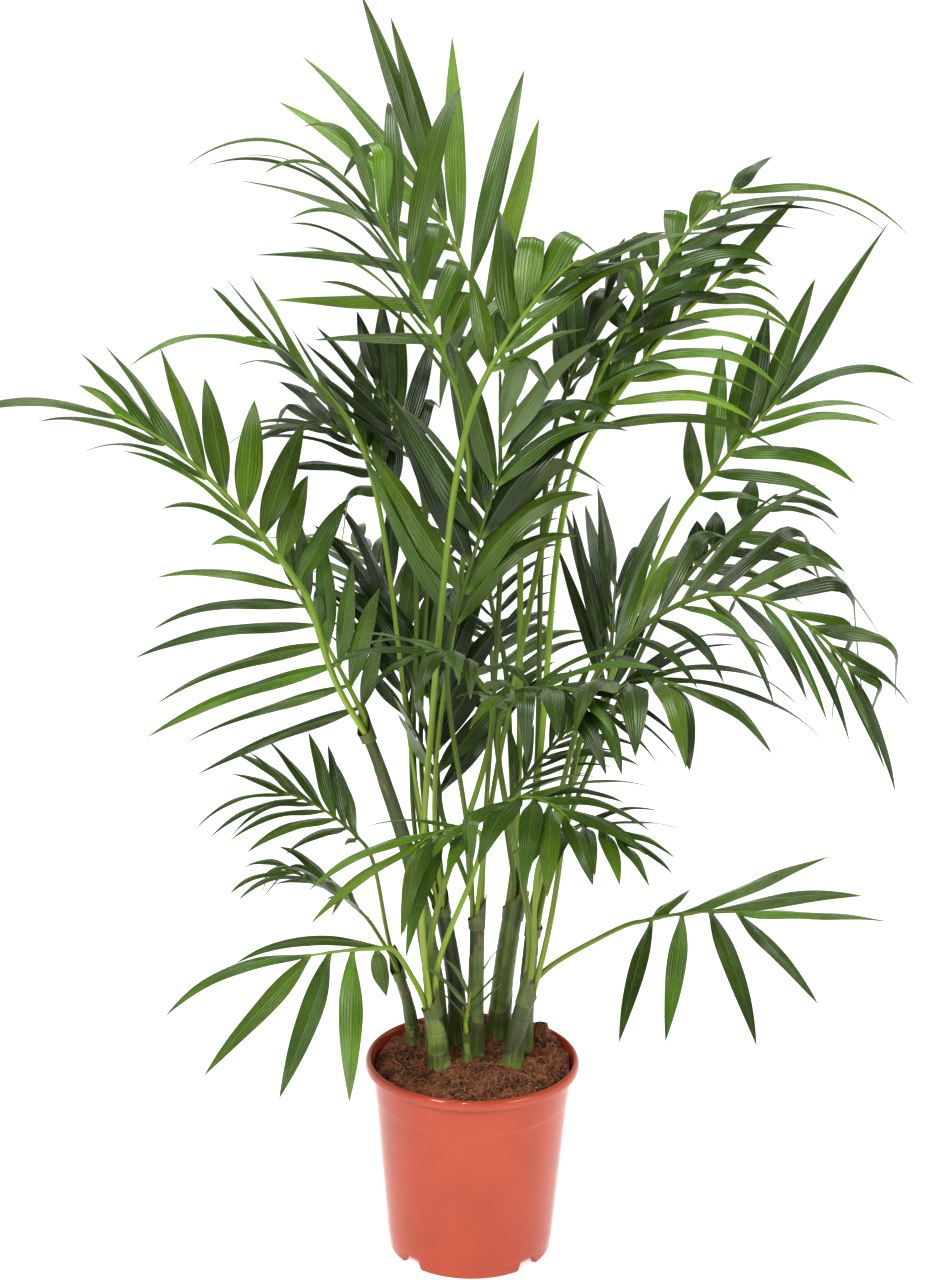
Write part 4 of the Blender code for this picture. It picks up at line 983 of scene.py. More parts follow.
@dataclass
class Piece:
    """One object of the dressed plant, made of skins and tied to the solid that it stands for."""

    name: str
    skins: list[Skin]
    finishes: list[bpy.types.Material]
    slot: Slot
    nodes: tuple[str, ...] = ()
    sharp_angle: float = 50.0
    uv_name: str = "surface"
    tone_name: str = "tone"

    def make(self) -> bpy.types.Object:
        """Puts the skins into a mesh at the origin, then ties it to the frame.

        Returns:
            The object.
        """
        offsets = np.cumsum([0] + [len(skin.points) for skin in self.skins])
        quads = np.concatenate([s.quads + o for s, o in zip(self.skins, offsets)])
        fans = np.concatenate([s.fans + o for s, o in zip(self.skins, offsets)])
        mesh = bpy.data.meshes.new(self.name)
        mesh.from_pydata(np.concatenate([s.points for s in self.skins]), [],
                         quads.tolist() + fans.tolist())
        uvs = [s.quad_uv.ravel() for s in self.skins] + [s.fan_uv.ravel() for s in self.skins]
        mesh.uv_layers.new(name=self.uv_name).data.foreach_set("uv", np.concatenate(uvs))
        tone = np.concatenate([s.tone for s in self.skins])
        tone = np.concatenate([tone, np.ones((len(tone), 1))], axis=1)
        mesh.attributes.new(self.tone_name, "FLOAT_COLOR", "POINT").data.foreach_set(
            "color", tone.ravel())
        for finish in self.finishes:
            mesh.materials.append(finish)
        kinds = [np.full(len(s.quads), s.finish) for s in self.skins]
        kinds += [np.full(len(s.fans), s.finish) for s in self.skins]
        mesh.polygons.foreach_set("material_index", np.concatenate(kinds).astype(np.int32))
        mesh.shade_smooth()
        mesh.set_sharp_from_angle(angle=math.radians(self.sharp_angle))
        made = bpy.data.objects.new(self.name, mesh)
        bpy.context.scene.collection.objects.link(made)
        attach(made, "root")
        if self.nodes:
            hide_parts(*self.nodes)
        LOG.info("%s: %d triangles", self.name, 2 * len(quads) + len(fans))
        return made


def plain_tone(rows: Array, light: float | Array, age: float | Array = 0.0,
               spare: float | Array = 0.0) -> Array:
    """The three tone values for each point of rows, from values that stretch to fit."""
    shape = rows.shape[:-1]
    return np.stack([np.broadcast_to(value, shape) for value in (light, age, spare)], axis=-1)


@dataclass(frozen=True)
class LeafForm:
    """The fine form of a leaflet: a thin plate folded down from its midrib, long in the point.

    The profile runs over the face from one edge to the other and back along the underside.
    """

    rows: int = 22
    places: tuple[float, ...] = (1.0, 0.56, 0.09, 0.0, -0.09, -0.56, -1.0,
                                 -0.56, -0.09, 0.0, 0.09, 0.56)
    faces: tuple[float, ...] = (0, 1, 1, 1, 1, 1, 0, -1, -1, -1, -1, -1)
    midrib: tuple[float, ...] = (0, 0, 0, 1, 0, 0, 0, 0, 0, -1, 0, 0)
    half_thick: float = 0.00016
    root_thick: float = 0.0011
    root_reach: float = 0.045
    midrib_rise: float = 0.00042
    fold_at_root: float = 0.75
    fold_at_tip: float = 0.16
    wave: float = 0.09
    twist: float = 0.55
    sway: float = 0.045
    sag: float = 0.040
    sunk: float = 0.0025
    last_share: float = 0.988
    dry_tips: float = 0.4

    def skin(self, leaflets: list[Leaflet], light: float, seed: str) -> Skin:
        """The leaflets of one blade as one skin.

        The middle line is the cubic through the rule's steps. At share v the half width is the
        rule's, h(v); a point at place u stands u h(v) to the side and drops by |u| h(v) times a
        fold that eases from root to tip, plus a slow wave in the edge that grows as u^2. The whole
        profile is turned by a twist that grows as v^1.5, and the middle line leaves the rule's by
        a sway that grows as v^2 and a sag that grows as v^3.

        Args:
            leaflets: The leaflets, at least one.
            light: How light the blade is, from 0 to 1; low values paint the shade that inner and back
                fronds lie in.
            seed: The name that the small differences between leaflets are drawn from.

        Returns:
            The skin.
        """
        chance = np.random.default_rng(sum(ord(letter) * (k + 7) for k, letter in enumerate(seed)))
        count = len(leaflets)
        v = np.linspace(0.0, self.last_share, self.rows)
        weights = spline_weights(LEAF_STEPS + 1, v)
        centres = np.einsum("rk,nkc->nrc", weights, np.stack([x.centres for x in leaflets]))
        top = np.einsum("rk,nkc->nrc", weights, np.stack([x.top for x in leaflets]))
        ahead = units(np.gradient(centres, axis=1))
        top = units(top - ahead * (top * ahead).sum(axis=-1, keepdims=True))
        lateral = np.cross(top, ahead)
        draw = chance.uniform(-1.0, 1.0, (9, count, 1))
        angle = draw[0] * self.twist * v ** 1.5
        cos, sin = np.cos(angle)[..., None], np.sin(angle)[..., None]
        lateral, top = lateral * cos + top * sin, top * cos - lateral * sin
        lengths = np.array([x.length for x in leaflets])[:, None]
        centres += lateral * (self.sway * draw[6] * lengths * v ** 2)[..., None]
        centres += DOWN * (self.sag * np.abs(draw[7]) * lengths * v ** 3)[..., None]
        centres[:, 0] -= ahead[:, 0] * self.sunk
        widths = np.array([x.width for x in leaflets])[:, None]
        half = (widths / 2 * leaf_width(v))[..., None]
        u, face, rib = (np.array(values) for values in (self.places, self.faces, self.midrib))
        near_root = np.exp(-v / self.root_reach)[None, :, None]
        fold = self.fold_at_tip + (self.fold_at_root - self.fold_at_tip) * np.exp(-v / 0.22)
        fold = fold[None, :, None] * (1 + 0.3 * draw[1][..., None])
        thick = self.half_thick + self.root_thick * near_root
        thick = thick * np.where(np.abs(u) > 0.3, 0.7, 1.0)
        turns = 2 * np.pi * ((1.6 + 0.5 * draw[2]) * v + draw[3])[..., None]
        wave = self.wave * half * u * u * np.sin(turns + np.where(u > 0, 1.3, 0.0))
        drop = np.abs(u) * half * np.minimum(fold, 1.2)
        rise = self.midrib_rise * rib * (1 - 0.6 * v[None, :, None]) + face * thick + wave - drop
        aside = u * half / np.sqrt(1 + np.minimum(fold, 1.2) ** 2)
        rows = (centres[:, :, None] + lateral[:, :, None] * aside[..., None]
                + top[:, :, None] * rise[..., None])
        tips = centres[:, -1] + ahead[:, -1] * lengths * (1 - self.last_share)
        roots = rows[:, 0].mean(axis=1)
        # Painted shade: the frond's lightness, low on inner and back fronds, darkens all its leaflets; the
        # rest differs at random.
        tone = light + 0.28 * draw[4] + 0.05 * np.sin(turns[..., 0])
        dry = np.where(draw[5] < 2 * self.dry_tips - 1, 1.0, 0.0) * smooth((v - 0.93) / 0.06)
        warm = 0.25 * (1 + draw[8])
        age = warm + (1 - warm) * dry
        tones = plain_tone(rows, np.clip(tone, 0, 1)[..., None], age[..., None], near_root)
        across = np.linspace(0.0, 2.0, len(u) + 1)
        across[:7] = (1 - u[:7]) / 2
        across[6:12] = 1 + (1 + u[6:12]) / 2
        skin = sweep(rows, across, v, tones, 0, np.stack([roots, tips], axis=1))
        return cut_alike(skin, len(u))


@dataclass(frozen=True)
class RibForm:
    """The fine form of a rib and of a stalk: round below, with a groove or a ridge on top."""

    places: int = 14
    stalk_rows: int = 44
    rows_per_pair: int = 6
    groove: float = 0.24
    groove_width: float = 0.55
    foot_flare: float = 0.10
    flare_reach: float = 0.020
    joint_rise: float = 0.20
    joint_reach: float = 0.0045
    tip_reach: float = 0.35

    def outline(self) -> tuple[Array, Array]:
        """The round's angles and its radius at each: one, less a soft groove on the upper side."""
        angle = 2 * np.pi * np.arange(self.places) / self.places
        off = np.angle(np.exp(1j * (angle - 1.5 * np.pi)))
        return angle, 1 - self.groove * np.exp(-(off / self.groove_width) ** 2)

    def carry(self, centres: Array, forward: Array, side: Array, wide: Array, high: Array) -> Array:
        """The outline carried along a path.

        Args:
            centres: The path.
            forward: Its directions.
            side: The direction that the outline's own side leans to, at each point or once.
            wide: Half the width at each point.
            high: Half the height at each point.

        Returns:
            Points by row and place.
        """
        side = units(side - forward * (side * forward).sum(axis=-1, keepdims=True))
        below = np.cross(forward, side)
        angle, radius = self.outline()
        return (centres[:, None] + side[:, None] * (wide[:, None] * np.cos(angle) * radius)[..., None]
                + below[:, None] * (high[:, None] * np.sin(angle) * radius)[..., None])

    def stalk_rows_of(self, stalk: Stalk, side: Array) -> Array:
        """The rows of a stalk, with its side as the blade's side is at the throat."""
        path = stalk.path(self.stalk_rows)
        forward = tangents(path)
        forward[0], forward[-1] = stalk.ends
        run = np.linalg.norm(path - path[0], axis=1)
        radii = stalk.radii(self.stalk_rows) * (1 + self.foot_flare * np.exp(-run / self.flare_reach))
        return self.carry(path, forward, side, radii, radii)

    def rib_rows_of(self, frond: Frond) -> Array:
        """The rows of a rib, thicker where each pair of leaflets joins it and thin at the tip."""
        count = frond.pairs * self.rows_per_pair
        shares = np.linspace(0.0, 1.0, count)
        rib = frond.rib_frames(shares)
        taper = (1 + (RIB_TIP_SHARE - 1) * shares) * min(frond.stalk / RIB_STALK, 1.3)
        near = (shares[:, None] - frond.pair_shares(rib.length)) * rib.length / self.joint_reach
        swell = 1 + self.joint_rise * np.exp(-near ** 2).sum(axis=1)
        close = np.sqrt(np.clip((1.004 - shares) * rib.length / 0.004, 0.05, 1.0))
        return self.carry(rib.centres, rib.forward, rib.side, RIB_HALF_WIDTH * taper * swell * close,
                          RIB_HALF_HEIGHT * taper * swell * close)

    def skin(self, rows: Array, light: float, foot_age: float, finish: int) -> Skin:
        """One closed tube from rows, with its v in units of ten centimetres.

        Args:
            rows: Points by row and place.
            light: How light the tube is; low on stalks of inner and back fronds, as painted shade.
            foot_age: How yellow its lower end is.
            finish: The material's place in the piece.

        Returns:
            The skin.
        """
        middle = rows.mean(axis=1)
        steps = np.linalg.norm(np.diff(middle, axis=0), axis=1)
        run = np.concatenate([[0.0], np.cumsum(steps)])
        share = np.linspace(0.0, 1.0, len(rows))
        tone = plain_tone(rows, light, (foot_age * (1 - share) ** 2)[:, None])
        across = np.arange(self.places + 1) / self.places
        return sweep(rows[None], across, run * 10, tone[None], finish)


@dataclass
class FrondWork:
    """One frond's blade, and its stalk where that is one piece with it."""

    frond: Frond
    stalk: Stalk
    leaflets: list[Leaflet]
    leaf_form: LeafForm = LeafForm()
    rib_form: RibForm = RibForm()

    def build(self, blade: bpy.types.Material, rib: bpy.types.Material) -> None:
        """Makes the blade's piece, and the stalk's piece where it has its own.

        Args:
            blade: The finish of the leaflets.
            rib: The finish of ribs and stalks.
        """
        frond = self.frond
        side = frond.rib_frames([0.0]).side[0]
        stalk_rows = self.rib_form.stalk_rows_of(self.stalk, side)
        rib_rows = self.rib_form.rib_rows_of(frond)
        # Painted shade: stalks and ribs take the frond's lightness, so those of inner and back fronds are
        # darker.
        light = 0.05 + 0.9 * frond.light
        skins = []
        if self.leaflets:
            skins.append(self.leaf_form.skin(self.leaflets, frond.light, frond.name))
        if frond.whole:
            rows = np.concatenate([stalk_rows[:-1], rib_rows])
            skins.append(self.rib_form.skin(rows, light, 0.3, 1))
        else:
            skins.append(self.rib_form.skin(rib_rows, light, 0.0, 1))
            Piece(f"{frond.name}_stalk", [self.rib_form.skin(stalk_rows, light, 0.6, 0)], [rib],
                  Slot.STALK, (f"stalk_{frond.name}",)).make()
        Piece(f"{frond.name}_frond", skins, [blade, rib], Slot.LEAF, (f"frond_{frond.name}",)).make()


@dataclass
class SheathedCane:
    """A cane of nested sheaths: each ends in a slanting edge, and old edges dry to brown paper."""

    cane: Cane
    rows: int = 120
    places: int = 36
    sheath_length: float = 0.080
    edge_step: float = 0.00075
    edge_soft: float = 0.0022
    slant: float = 0.050
    scar_depth: float = 0.0003
    collar_height: float = 0.034
    collar_wall: float = 0.0004

    def chance(self) -> np.random.Generator:
        """Dice of this cane's own, from the letters of its name."""
        return np.random.default_rng(sum(ord(letter) * (k + 3)
                                         for k, letter in enumerate(self.cane.name)))

    def frames(self, count: int) -> tuple[Array, Array, Array, Array]:
        """Centres, directions, and the two directions across, along the cane."""
        path = self.cane.path(count)
        forward = tangents(path)
        forward[0] = -DOWN
        side = units(np.array([1.0, 0.0, 0.0]) - forward * forward[:, :1])
        return path, forward, side, np.cross(forward, side)

    def skin(self) -> Skin:
        """The stack of sheaths.

        The radius at height s and angle a is the cane's own, plus one step for each sheath whose
        edge still lies above, where the edge's height is its own plus a slant times
        (1 - cos(a - a0)) / 2, less a fine ring for each scar.
        """
        chance = self.chance()
        path, forward, side, other = self.frames(self.rows)
        run = np.concatenate([[0.0], np.cumsum(np.linalg.norm(np.diff(path, axis=0), axis=1))])
        length = run[-1]
        angle = 2 * np.pi * np.arange(self.places) / self.places
        count = max(2, int(round(length / self.sheath_length)))
        heights = (np.arange(count) + 0.55 + chance.uniform(-0.2, 0.2, count)) * length / count
        facing = chance.uniform(0, 2 * np.pi) + np.pi * np.arange(count) + chance.normal(0, 0.4, count)
        slants = self.slant * chance.uniform(0.6, 1.3, count)
        lip = (1 - np.cos(angle - facing[:, None])) / 2
        edge = heights[:, None] + slants[:, None] * lip ** 2
        below = (edge[:, None, :] - run[None, :, None]) / self.edge_soft
        covered = smooth(below / 2 + 0.5)
        step = covered.sum(axis=0) * self.edge_step
        step -= step.mean()
        dry = chance.uniform(0.5, 1.0, count)[:, None, None]
        reach = 0.50 + 3.4 * lip[:, None] ** 3
        paper = (np.exp(-((below - 0.2) / reach) ** 2) * (below > -0.5) * dry).max(axis=0)
        scar = np.exp(-((run[:, None] - heights * 0.93) / 0.0012) ** 2).sum(axis=1)
        radius = self.cane.radii(self.rows)[:, None] + step - (self.scar_depth * scar)[:, None]
        foot = np.exp(-run / 0.030)[:, None]
        radius = radius + (0.00010 + 0.00022 * foot) * np.cos(angle * 7 + 1.0)
        rows = path[:, None] + radius[..., None] * (side[:, None] * np.cos(angle)[:, None]
                                                    + other[:, None] * np.sin(angle)[:, None])
        shades = np.concatenate([chance.uniform(0.0, 0.9, count), [0.5]])
        light = np.interp(covered.sum(axis=0), np.arange(count + 1), shades)
        tone = plain_tone(rows, light, np.clip(paper, 0, 1), foot)
        across = np.arange(self.places + 1) / self.places
        return sweep(rows[None], across, run * 10, tone[None])

    def collar(self) -> Skin:
        """The open mouth of the youngest sheath, a thin sleeve with a slanting, dry edge.

        The sleeve goes up outside and comes down inside. Its height at an angle a is the collar's
        times 0.15 + 0.85 ((1 - cos(a - a0)) / 2)^2, and it opens a little as it rises.
        """
        chance = self.chance()
        path, forward, side, other = self.frames(CANE_RINGS * 4)
        mouth, ahead = path[-1], forward[-1]
        angle = 2 * np.pi * np.arange(self.places) / self.places
        share = np.linspace(0.0, 1.0, 12)
        up = np.concatenate([share, share[::-1]])
        wall = np.concatenate([np.full(12, self.collar_wall), np.zeros(12)])
        wall[11:13] = self.collar_wall * np.array([0.75, 0.25])
        facing = chance.uniform(0, 2 * np.pi)
        height = self.collar_height * (0.15 + 0.85 * ((1 - np.cos(angle - facing)) / 2) ** 2)
        height = height * (1 + 0.06 * np.sin(angle * 5 + facing))
        radius = self.cane.top_radius + 0.0003 + wall[:, None] + 0.0012 * up[:, None] ** 2
        lift = up[:, None] * (height + 0.006) - 0.006
        rows = (mouth + ahead * lift[..., None]
                + radius[..., None] * (side[-1] * np.cos(angle)[:, None]
                                       + other[-1] * np.sin(angle)[:, None]))
        tone = plain_tone(rows, 0.6, smooth((up - 0.72) / 0.28)[:, None] * 0.9)
        across = np.arange(self.places + 1) / self.places
        along = np.linspace(0.0, 0.5, len(up) + 1)
        return sweep(rows[None], across, along, tone[None], looped=True)

    def build(self, finish: bpy.types.Material) -> None:
        """Makes the cane's piece."""
        Piece(f"{self.cane.name}_sheaths", [self.skin(), self.collar()], [finish], Slot.CANE,
              (self.cane.name,), 40.0).make()


@dataclass
class NurseryPot:
    """An injection-moulded pot with a rolled lip, a faint band, and four notches in its foot."""

    rim_radius: float = 0.120
    rim_height: float = 0.2275
    lip_depth: float = 0.0115
    lip_inner_radius: float = 0.1130
    neck_radius: float = 0.1116
    band_height: float = 0.183
    band_step: float = 0.0007
    foot_radius: float = 0.0920
    foot_height: float = 0.012
    foot_step: float = 0.0009
    wall: float = 0.0022
    ring_width: float = 0.0060
    pad_radius: float = 0.062
    soft: float = 0.0010
    segments: int = 256
    notches: int = 4
    notch_top: float = 0.020
    notch_foot: float = 0.027
    notch_height: float = 0.0095
    corner_points: int = 5
    inner_corner: int = 14

    def wall_radius(self, height: float) -> float:
        """The outside of the wall at a height, on its straight taper."""
        share = (height - self.foot_height) / (self.rim_height - self.lip_depth - self.foot_height)
        start = self.foot_radius + self.foot_step
        return start + (self.neck_radius - start) * share

    def outline(self) -> Array:
        """The corners of the half section as (radius, height, corner softness)."""
        soft, lip_foot = self.soft, self.rim_height - self.lip_depth
        gutter, shoulder = self.foot_height - soft, self.foot_height + self.wall + soft
        foot, rim, band = self.foot_radius, self.rim_radius, self.band_height
        return np.array([
            (self.pad_radius, 0.0, 0.0008),
            (self.pad_radius + 2 * soft, gutter, 0.0008),
            (foot - self.ring_width - soft, gutter, 0.0008),
            (foot - self.ring_width, 0.0, 0.0006),
            (foot - self.foot_step, 0.0, 0.0006),
            (foot, self.foot_height, 0.0003),
            (foot + self.foot_step, self.foot_height + soft, 0.0006),
            (self.wall_radius(band) - self.band_step, band - soft, 0.0003),
            (self.wall_radius(band), band, 0.0004),
            (self.neck_radius, lip_foot + soft, 0.0006),
            (rim - soft, lip_foot, 0.0009),
            (rim, lip_foot + 4 * soft, 0.0022),
            (rim - 1.2 * soft, self.rim_height - 2.5 * soft, 0.0026),
            (rim - 4 * soft, self.rim_height, 0.0022),
            (self.lip_inner_radius + soft, self.rim_height - soft, 0.0012),
            (self.lip_inner_radius - soft / 2, self.rim_height - 5 * soft, 0.0010),
            (self.neck_radius - self.wall, lip_foot - 4 * soft, 0.0010),
            (foot + self.foot_step - self.wall, shoulder, 0.0010),
            (self.pad_radius - self.wall, shoulder - 2 * soft, 0.0010),
            (self.pad_radius - self.wall - 2 * soft, self.wall, 0.0008),
        ])

    def profile(self) -> Array:
        """The half section with each corner drawn as a small parabola between its two sides."""
        corners = self.outline()
        place, reach = corners[:, :2], corners[:, 2:]
        before = np.concatenate([[(0.0, 0.0)], place[:-1]])
        after = np.concatenate([place[1:], [(0.0, self.wall)]])
        into, out = before - place, after - place
        limit = 0.45 * np.minimum(np.linalg.norm(into, axis=1), np.linalg.norm(out, axis=1))
        reach = np.minimum(reach, limit[:, None])
        start, end = place + units(into) * reach, place + units(out) * reach
        t = np.linspace(0.0, 1.0, self.corner_points)[None, :, None]
        curve = start[:, None] * (1 - t) ** 2 + 2 * place[:, None] * t * (1 - t) + end[:, None] * t ** 2
        return curve.reshape(-1, 2)

    def skin(self) -> Skin:
        """The profile turned round the axis.

        In a notch, the foot's heights z between 0 and the foot's top f become
        m + z (f - m) / f, where m is the notch's height there, easing to 0 on its slanting sides.
        """
        profile = self.profile()
        long = np.linalg.norm(np.diff(profile, axis=0), axis=1)
        parts = np.maximum((long / 0.012).astype(int), 1)
        stops = np.concatenate([k + np.arange(n) / n for k, n in enumerate(parts)]
                               + [[len(profile) - 1]])
        knots = np.arange(len(profile))
        radius = np.interp(stops, knots, profile[:, 0])[:, None]
        height = np.interp(stops, knots, profile[:, 1])[:, None]
        angle = 2 * np.pi * (np.arange(self.segments) + 0.5) / self.segments
        round_notch = 2 * np.pi / self.notches
        off = np.abs((angle % round_notch) - round_notch / 2) * self.foot_radius
        slope = (self.notch_foot / 2 - off) / ((self.notch_foot - self.notch_top) / 2)
        lift = self.notch_height * np.clip(slope, 0.0, 1.0)[None, :]
        in_ring = radius > self.foot_radius - self.ring_width - 1.5 * self.soft
        low = (height < self.foot_height) & in_ring
        raised = lift + height * (self.foot_height - lift) / self.foot_height
        z = np.where(low, raised, height)
        rows = np.stack([radius * np.cos(angle), radius * np.sin(angle), z], axis=-1)[None]
        run = np.concatenate([[0.0], np.cumsum(np.hypot(np.diff(radius[:, 0]), np.diff(height[:, 0])))])
        poles = np.array([[(0.0, 0.0, 0.0), (0.0, 0.0, self.wall)]])
        inside = (stops >= self.inner_corner * self.corner_points).astype(float)[:, None]
        tone = plain_tone(rows, 0.5, inside[None])
        across = np.arange(self.segments + 1) / self.segments
        return sweep(rows, across, run * 10, tone, 0, poles)

    def build(self, finish: bpy.types.Material) -> None:
        """Makes the pot's piece."""
        Piece("nursery_pot", [self.skin()], [finish], Slot.POT, ("pot",), 40.0).make()


@dataclass
class PottingSoil:
    """Damp peat and coir: a lumpy filling, loose crumbs on it, and pale fibres."""

    canes: tuple[Cane, ...]
    top: float = SOIL_TOP
    neck: float = 0.1088
    foot: float = 0.0895
    floor: float = 0.0165
    edge_drop: float = 0.0030
    edge_width: float = 0.014
    rise: float = 0.0015
    bank: float = 0.0060
    segments: int = 340
    rings: int = 104
    lump: float = 0.0044
    grain: float = 0.0024
    crumbs: int = 3000
    fibres: int = 4200
    heap_place: tuple[float, float] = (0.078, 0.058)
    heap_height: float = 0.0200

    def height(self, x: Array, y: Array) -> Array:
        """The soil's level at some places.

        A plateau that drops near the rim, plus three sizes of noise, a heap at the back right and
        a small swell at the foot of each cane.
        """
        away = np.hypot(x, y)
        back = smooth((y + 0.3 * x + 0.03) / 0.11)
        level = self.top + self.rise + self.bank * back * smooth(away / self.neck)
        level = level - self.edge_drop * (1 - back) * smooth((away - self.neck + self.edge_width)
                                                             / self.edge_width)
        noise = self.lump * ValueNoise(11).at(x * 55 + 9, y * 55 + 9)
        noise = noise + self.grain * ValueNoise(12).at(x * 190, y * 190)
        noise = noise + 0.5 * self.grain * ValueNoise(13, 256).at(x * 520, y * 520)
        heap = self.heap_height * np.exp(-((x - self.heap_place[0]) ** 2
                                           + (y - self.heap_place[1]) ** 2) / 0.016 ** 2)
        swell = sum(0.0022 * np.exp(-(((x - cane.foot[0]) ** 2 + (y - cane.foot[1]) ** 2)
                                      / (cane.foot_radius * 1.7) ** 2)) for cane in self.canes)
        return level + noise + heap * smooth((self.neck - away) / 0.008) + swell - 0.0006

    def bed(self) -> Skin:
        """The filling, closed underneath: a side from the floor up, then rings to the middle."""
        angle = 2 * np.pi * np.arange(self.segments) / self.segments
        inward = np.linspace(1.0, 0.012, self.rings)[:, None] ** 0.85
        radius = np.concatenate([np.full((1, 1), self.foot), inward * self.neck])
        x, y = radius * np.cos(angle), radius * np.sin(angle)
        z = np.concatenate([np.full((1, self.segments), self.floor), self.height(x[1:], y[1:])])
        rows = np.stack([x, y, z], axis=-1)[None]
        middle = float(self.height(np.zeros(1), np.zeros(1))[0])
        poles = np.array([[(0.0, 0.0, self.floor), (0.0, 0.0, middle)]])
        across = np.arange(self.segments + 1) / self.segments
        return sweep(rows, across, np.arange(len(radius)) / 10, plain_tone(rows, 0.4), 0, poles)

    def scatter(self, count: int, seed: int, margin: float) -> tuple[Array, Array, Array]:
        """Places on the soil that keep clear of the rim and of the canes' feet.

        Args:
            count: How many places are drawn; those inside a cane are dropped.
            seed: The dice's seed.
            margin: How far a place keeps from the pot's wall.

        Returns:
            The x, y and z of the places.
        """
        chance = np.random.default_rng(seed)
        away = (self.neck - margin) * np.sqrt(chance.uniform(0, 1, count))
        angle = chance.uniform(0, 2 * np.pi, count)
        x, y = away * np.cos(angle), away * np.sin(angle)
        free = np.ones(count, bool)
        for cane in self.canes:
            free &= np.hypot(x - cane.foot[0], y - cane.foot[1]) > cane.foot_radius * FOOT_FLARE
        return x[free], y[free], self.height(x[free], y[free])

    def loose_crumbs(self) -> Skin:
        """Crumbs of peat: rough six-sided beads of three rings, each turned and squashed."""
        x, y, z = self.scatter(self.crumbs, 21, 0.004)
        chance = np.random.default_rng(22)
        count = len(x)
        size = 0.0006 + 0.0018 * chance.uniform(0, 1, count) ** 3
        size = size * np.where(chance.uniform(0, 1, count) > 0.975, 2.2, 1.0)
        axes = units(chance.normal(size=(2, count, 3)))
        up = axes[0]
        side = units(np.cross(up, axes[1]))
        other = np.cross(up, side)
        angle = 2 * np.pi * np.arange(6) / 6
        lat = np.array([-0.62, 0.0, 0.62])
        rough = 1 + 0.28 * chance.uniform(-1, 1, (count, 3, 6))
        ring_radius = np.array([0.66, 1.0, 0.66])[None, :, None] * rough * size[:, None, None]
        squash = chance.uniform(0.55, 0.95, count)[:, None, None, None]
        rows = (side[:, None, None] * (ring_radius * np.cos(angle))[..., None]
                + other[:, None, None] * (ring_radius * np.sin(angle))[..., None]
                + up[:, None, None] * (lat[:, None] * size[:, None, None])[..., None] * squash)
        middle = np.stack([x, y, z + size * 0.35], axis=-1)
        rows = rows + middle[:, None, None]
        poles = np.stack([middle - up * (size * 0.8)[:, None], middle + up * (size * 0.8)[:, None]],
                         axis=1)
        tone = plain_tone(rows, chance.uniform(0.1, 0.9, count)[:, None, None])
        return sweep(rows, np.arange(7) / 6, np.arange(3) / 3, tone, 0, poles)

    def pale_fibres(self) -> Skin:
        """Coir fibres: thin threads that lie on the soil in flat arcs, their ends dug in."""
        x, y, z = self.scatter(self.fibres, 31, 0.012)
        chance = np.random.default_rng(32)
        count, steps, places = len(x), 5, 3
        long = 0.003 + 0.013 * chance.uniform(0, 1, count) ** 2
        heading, bend = chance.uniform(0, 2 * np.pi, count), chance.normal(0, 1.3, count)
        share = np.linspace(-0.5, 0.5, steps)
        way = heading[:, None] + bend[:, None] * share
        step = long[:, None] / (steps - 1)
        px = x[:, None] + np.cumsum(np.cos(way) * step, axis=1) - long[:, None] * np.cos(way) / 2
        py = y[:, None] + np.cumsum(np.sin(way) * step, axis=1) - long[:, None] * np.sin(way) / 2
        away = np.hypot(px, py)
        hold = np.minimum(1.0, (self.neck - 0.002) / np.maximum(away, 1e-6))
        px, py = px * hold, py * hold
        arch = chance.uniform(0.0004, 0.0022, count)[:, None] * (1 - (2 * share) ** 2) + 0.0001
        path = np.stack([px, py, self.height(px, py) + arch], axis=-1)
        forward = units(np.gradient(path, axis=1))
        side = units(np.cross(forward, -DOWN))
        other = np.cross(forward, side)
        thick = chance.uniform(0.00010, 0.00028, count)[:, None, None] \
            * (1 - 0.5 * np.abs(2 * share))[None, :, None]
        angle = 2 * np.pi * np.arange(places) / places
        rows = (path[:, :, None] + side[:, :, None] * (thick * np.cos(angle))[..., None]
                + other[:, :, None] * (thick * np.sin(angle))[..., None])
        tone = plain_tone(rows, chance.uniform(0.0, 1.0, count)[:, None, None] ** 1.6)
        return sweep(rows, np.arange(places + 1) / places, share + 0.5, tone, 0)

    def build(self, peat: bpy.types.Material, coir: bpy.types.Material) -> None:
        """Makes the filling, the crumbs and the fibres."""
        Piece("potting_soil", [self.bed()], [peat], Slot.SOIL, ("soil",), 80.0).make()
        Piece("soil_crumbs", [self.loose_crumbs()], [peat], Slot.SOIL, (), 30.0).make()
        Piece("coir_fibres", [self.pale_fibres()], [coir], Slot.SOIL, (), 80.0).make()


Colour = tuple[float, float, float]


@dataclass(frozen=True)
class Signal:
    """A value on its way through a material's nodes. Its arithmetic adds nodes."""

    bench: "NodeBench"
    socket: Socket

    def calc(self, operation: str, other: "Signal | float" = 0.0) -> "Signal":
        """One step of arithmetic with another value."""
        return self.bench.calc(operation, self, other)

    def __add__(self, other: "Signal | float") -> "Signal":
        """The sum."""
        return self.calc("ADD", other)

    def __sub__(self, other: "Signal | float") -> "Signal":
        """The difference."""
        return self.calc("SUBTRACT", other)

    def __mul__(self, other: "Signal | float") -> "Signal":
        """The product."""
        return self.calc("MULTIPLY", other)

    def span(self, low: float, high: float, start: float = 0.0, end: float = 1.0) -> "Signal":
        """The value carried softly from one range to another and held inside it."""
        node = self.bench.add("ShaderNodeMapRange", interpolation_type="SMOOTHSTEP")
        for socket, number in zip(node.inputs, (self, low, high, start, end)):
            self.bench.feed(socket, number)
        return Signal(self.bench, node.outputs[0])


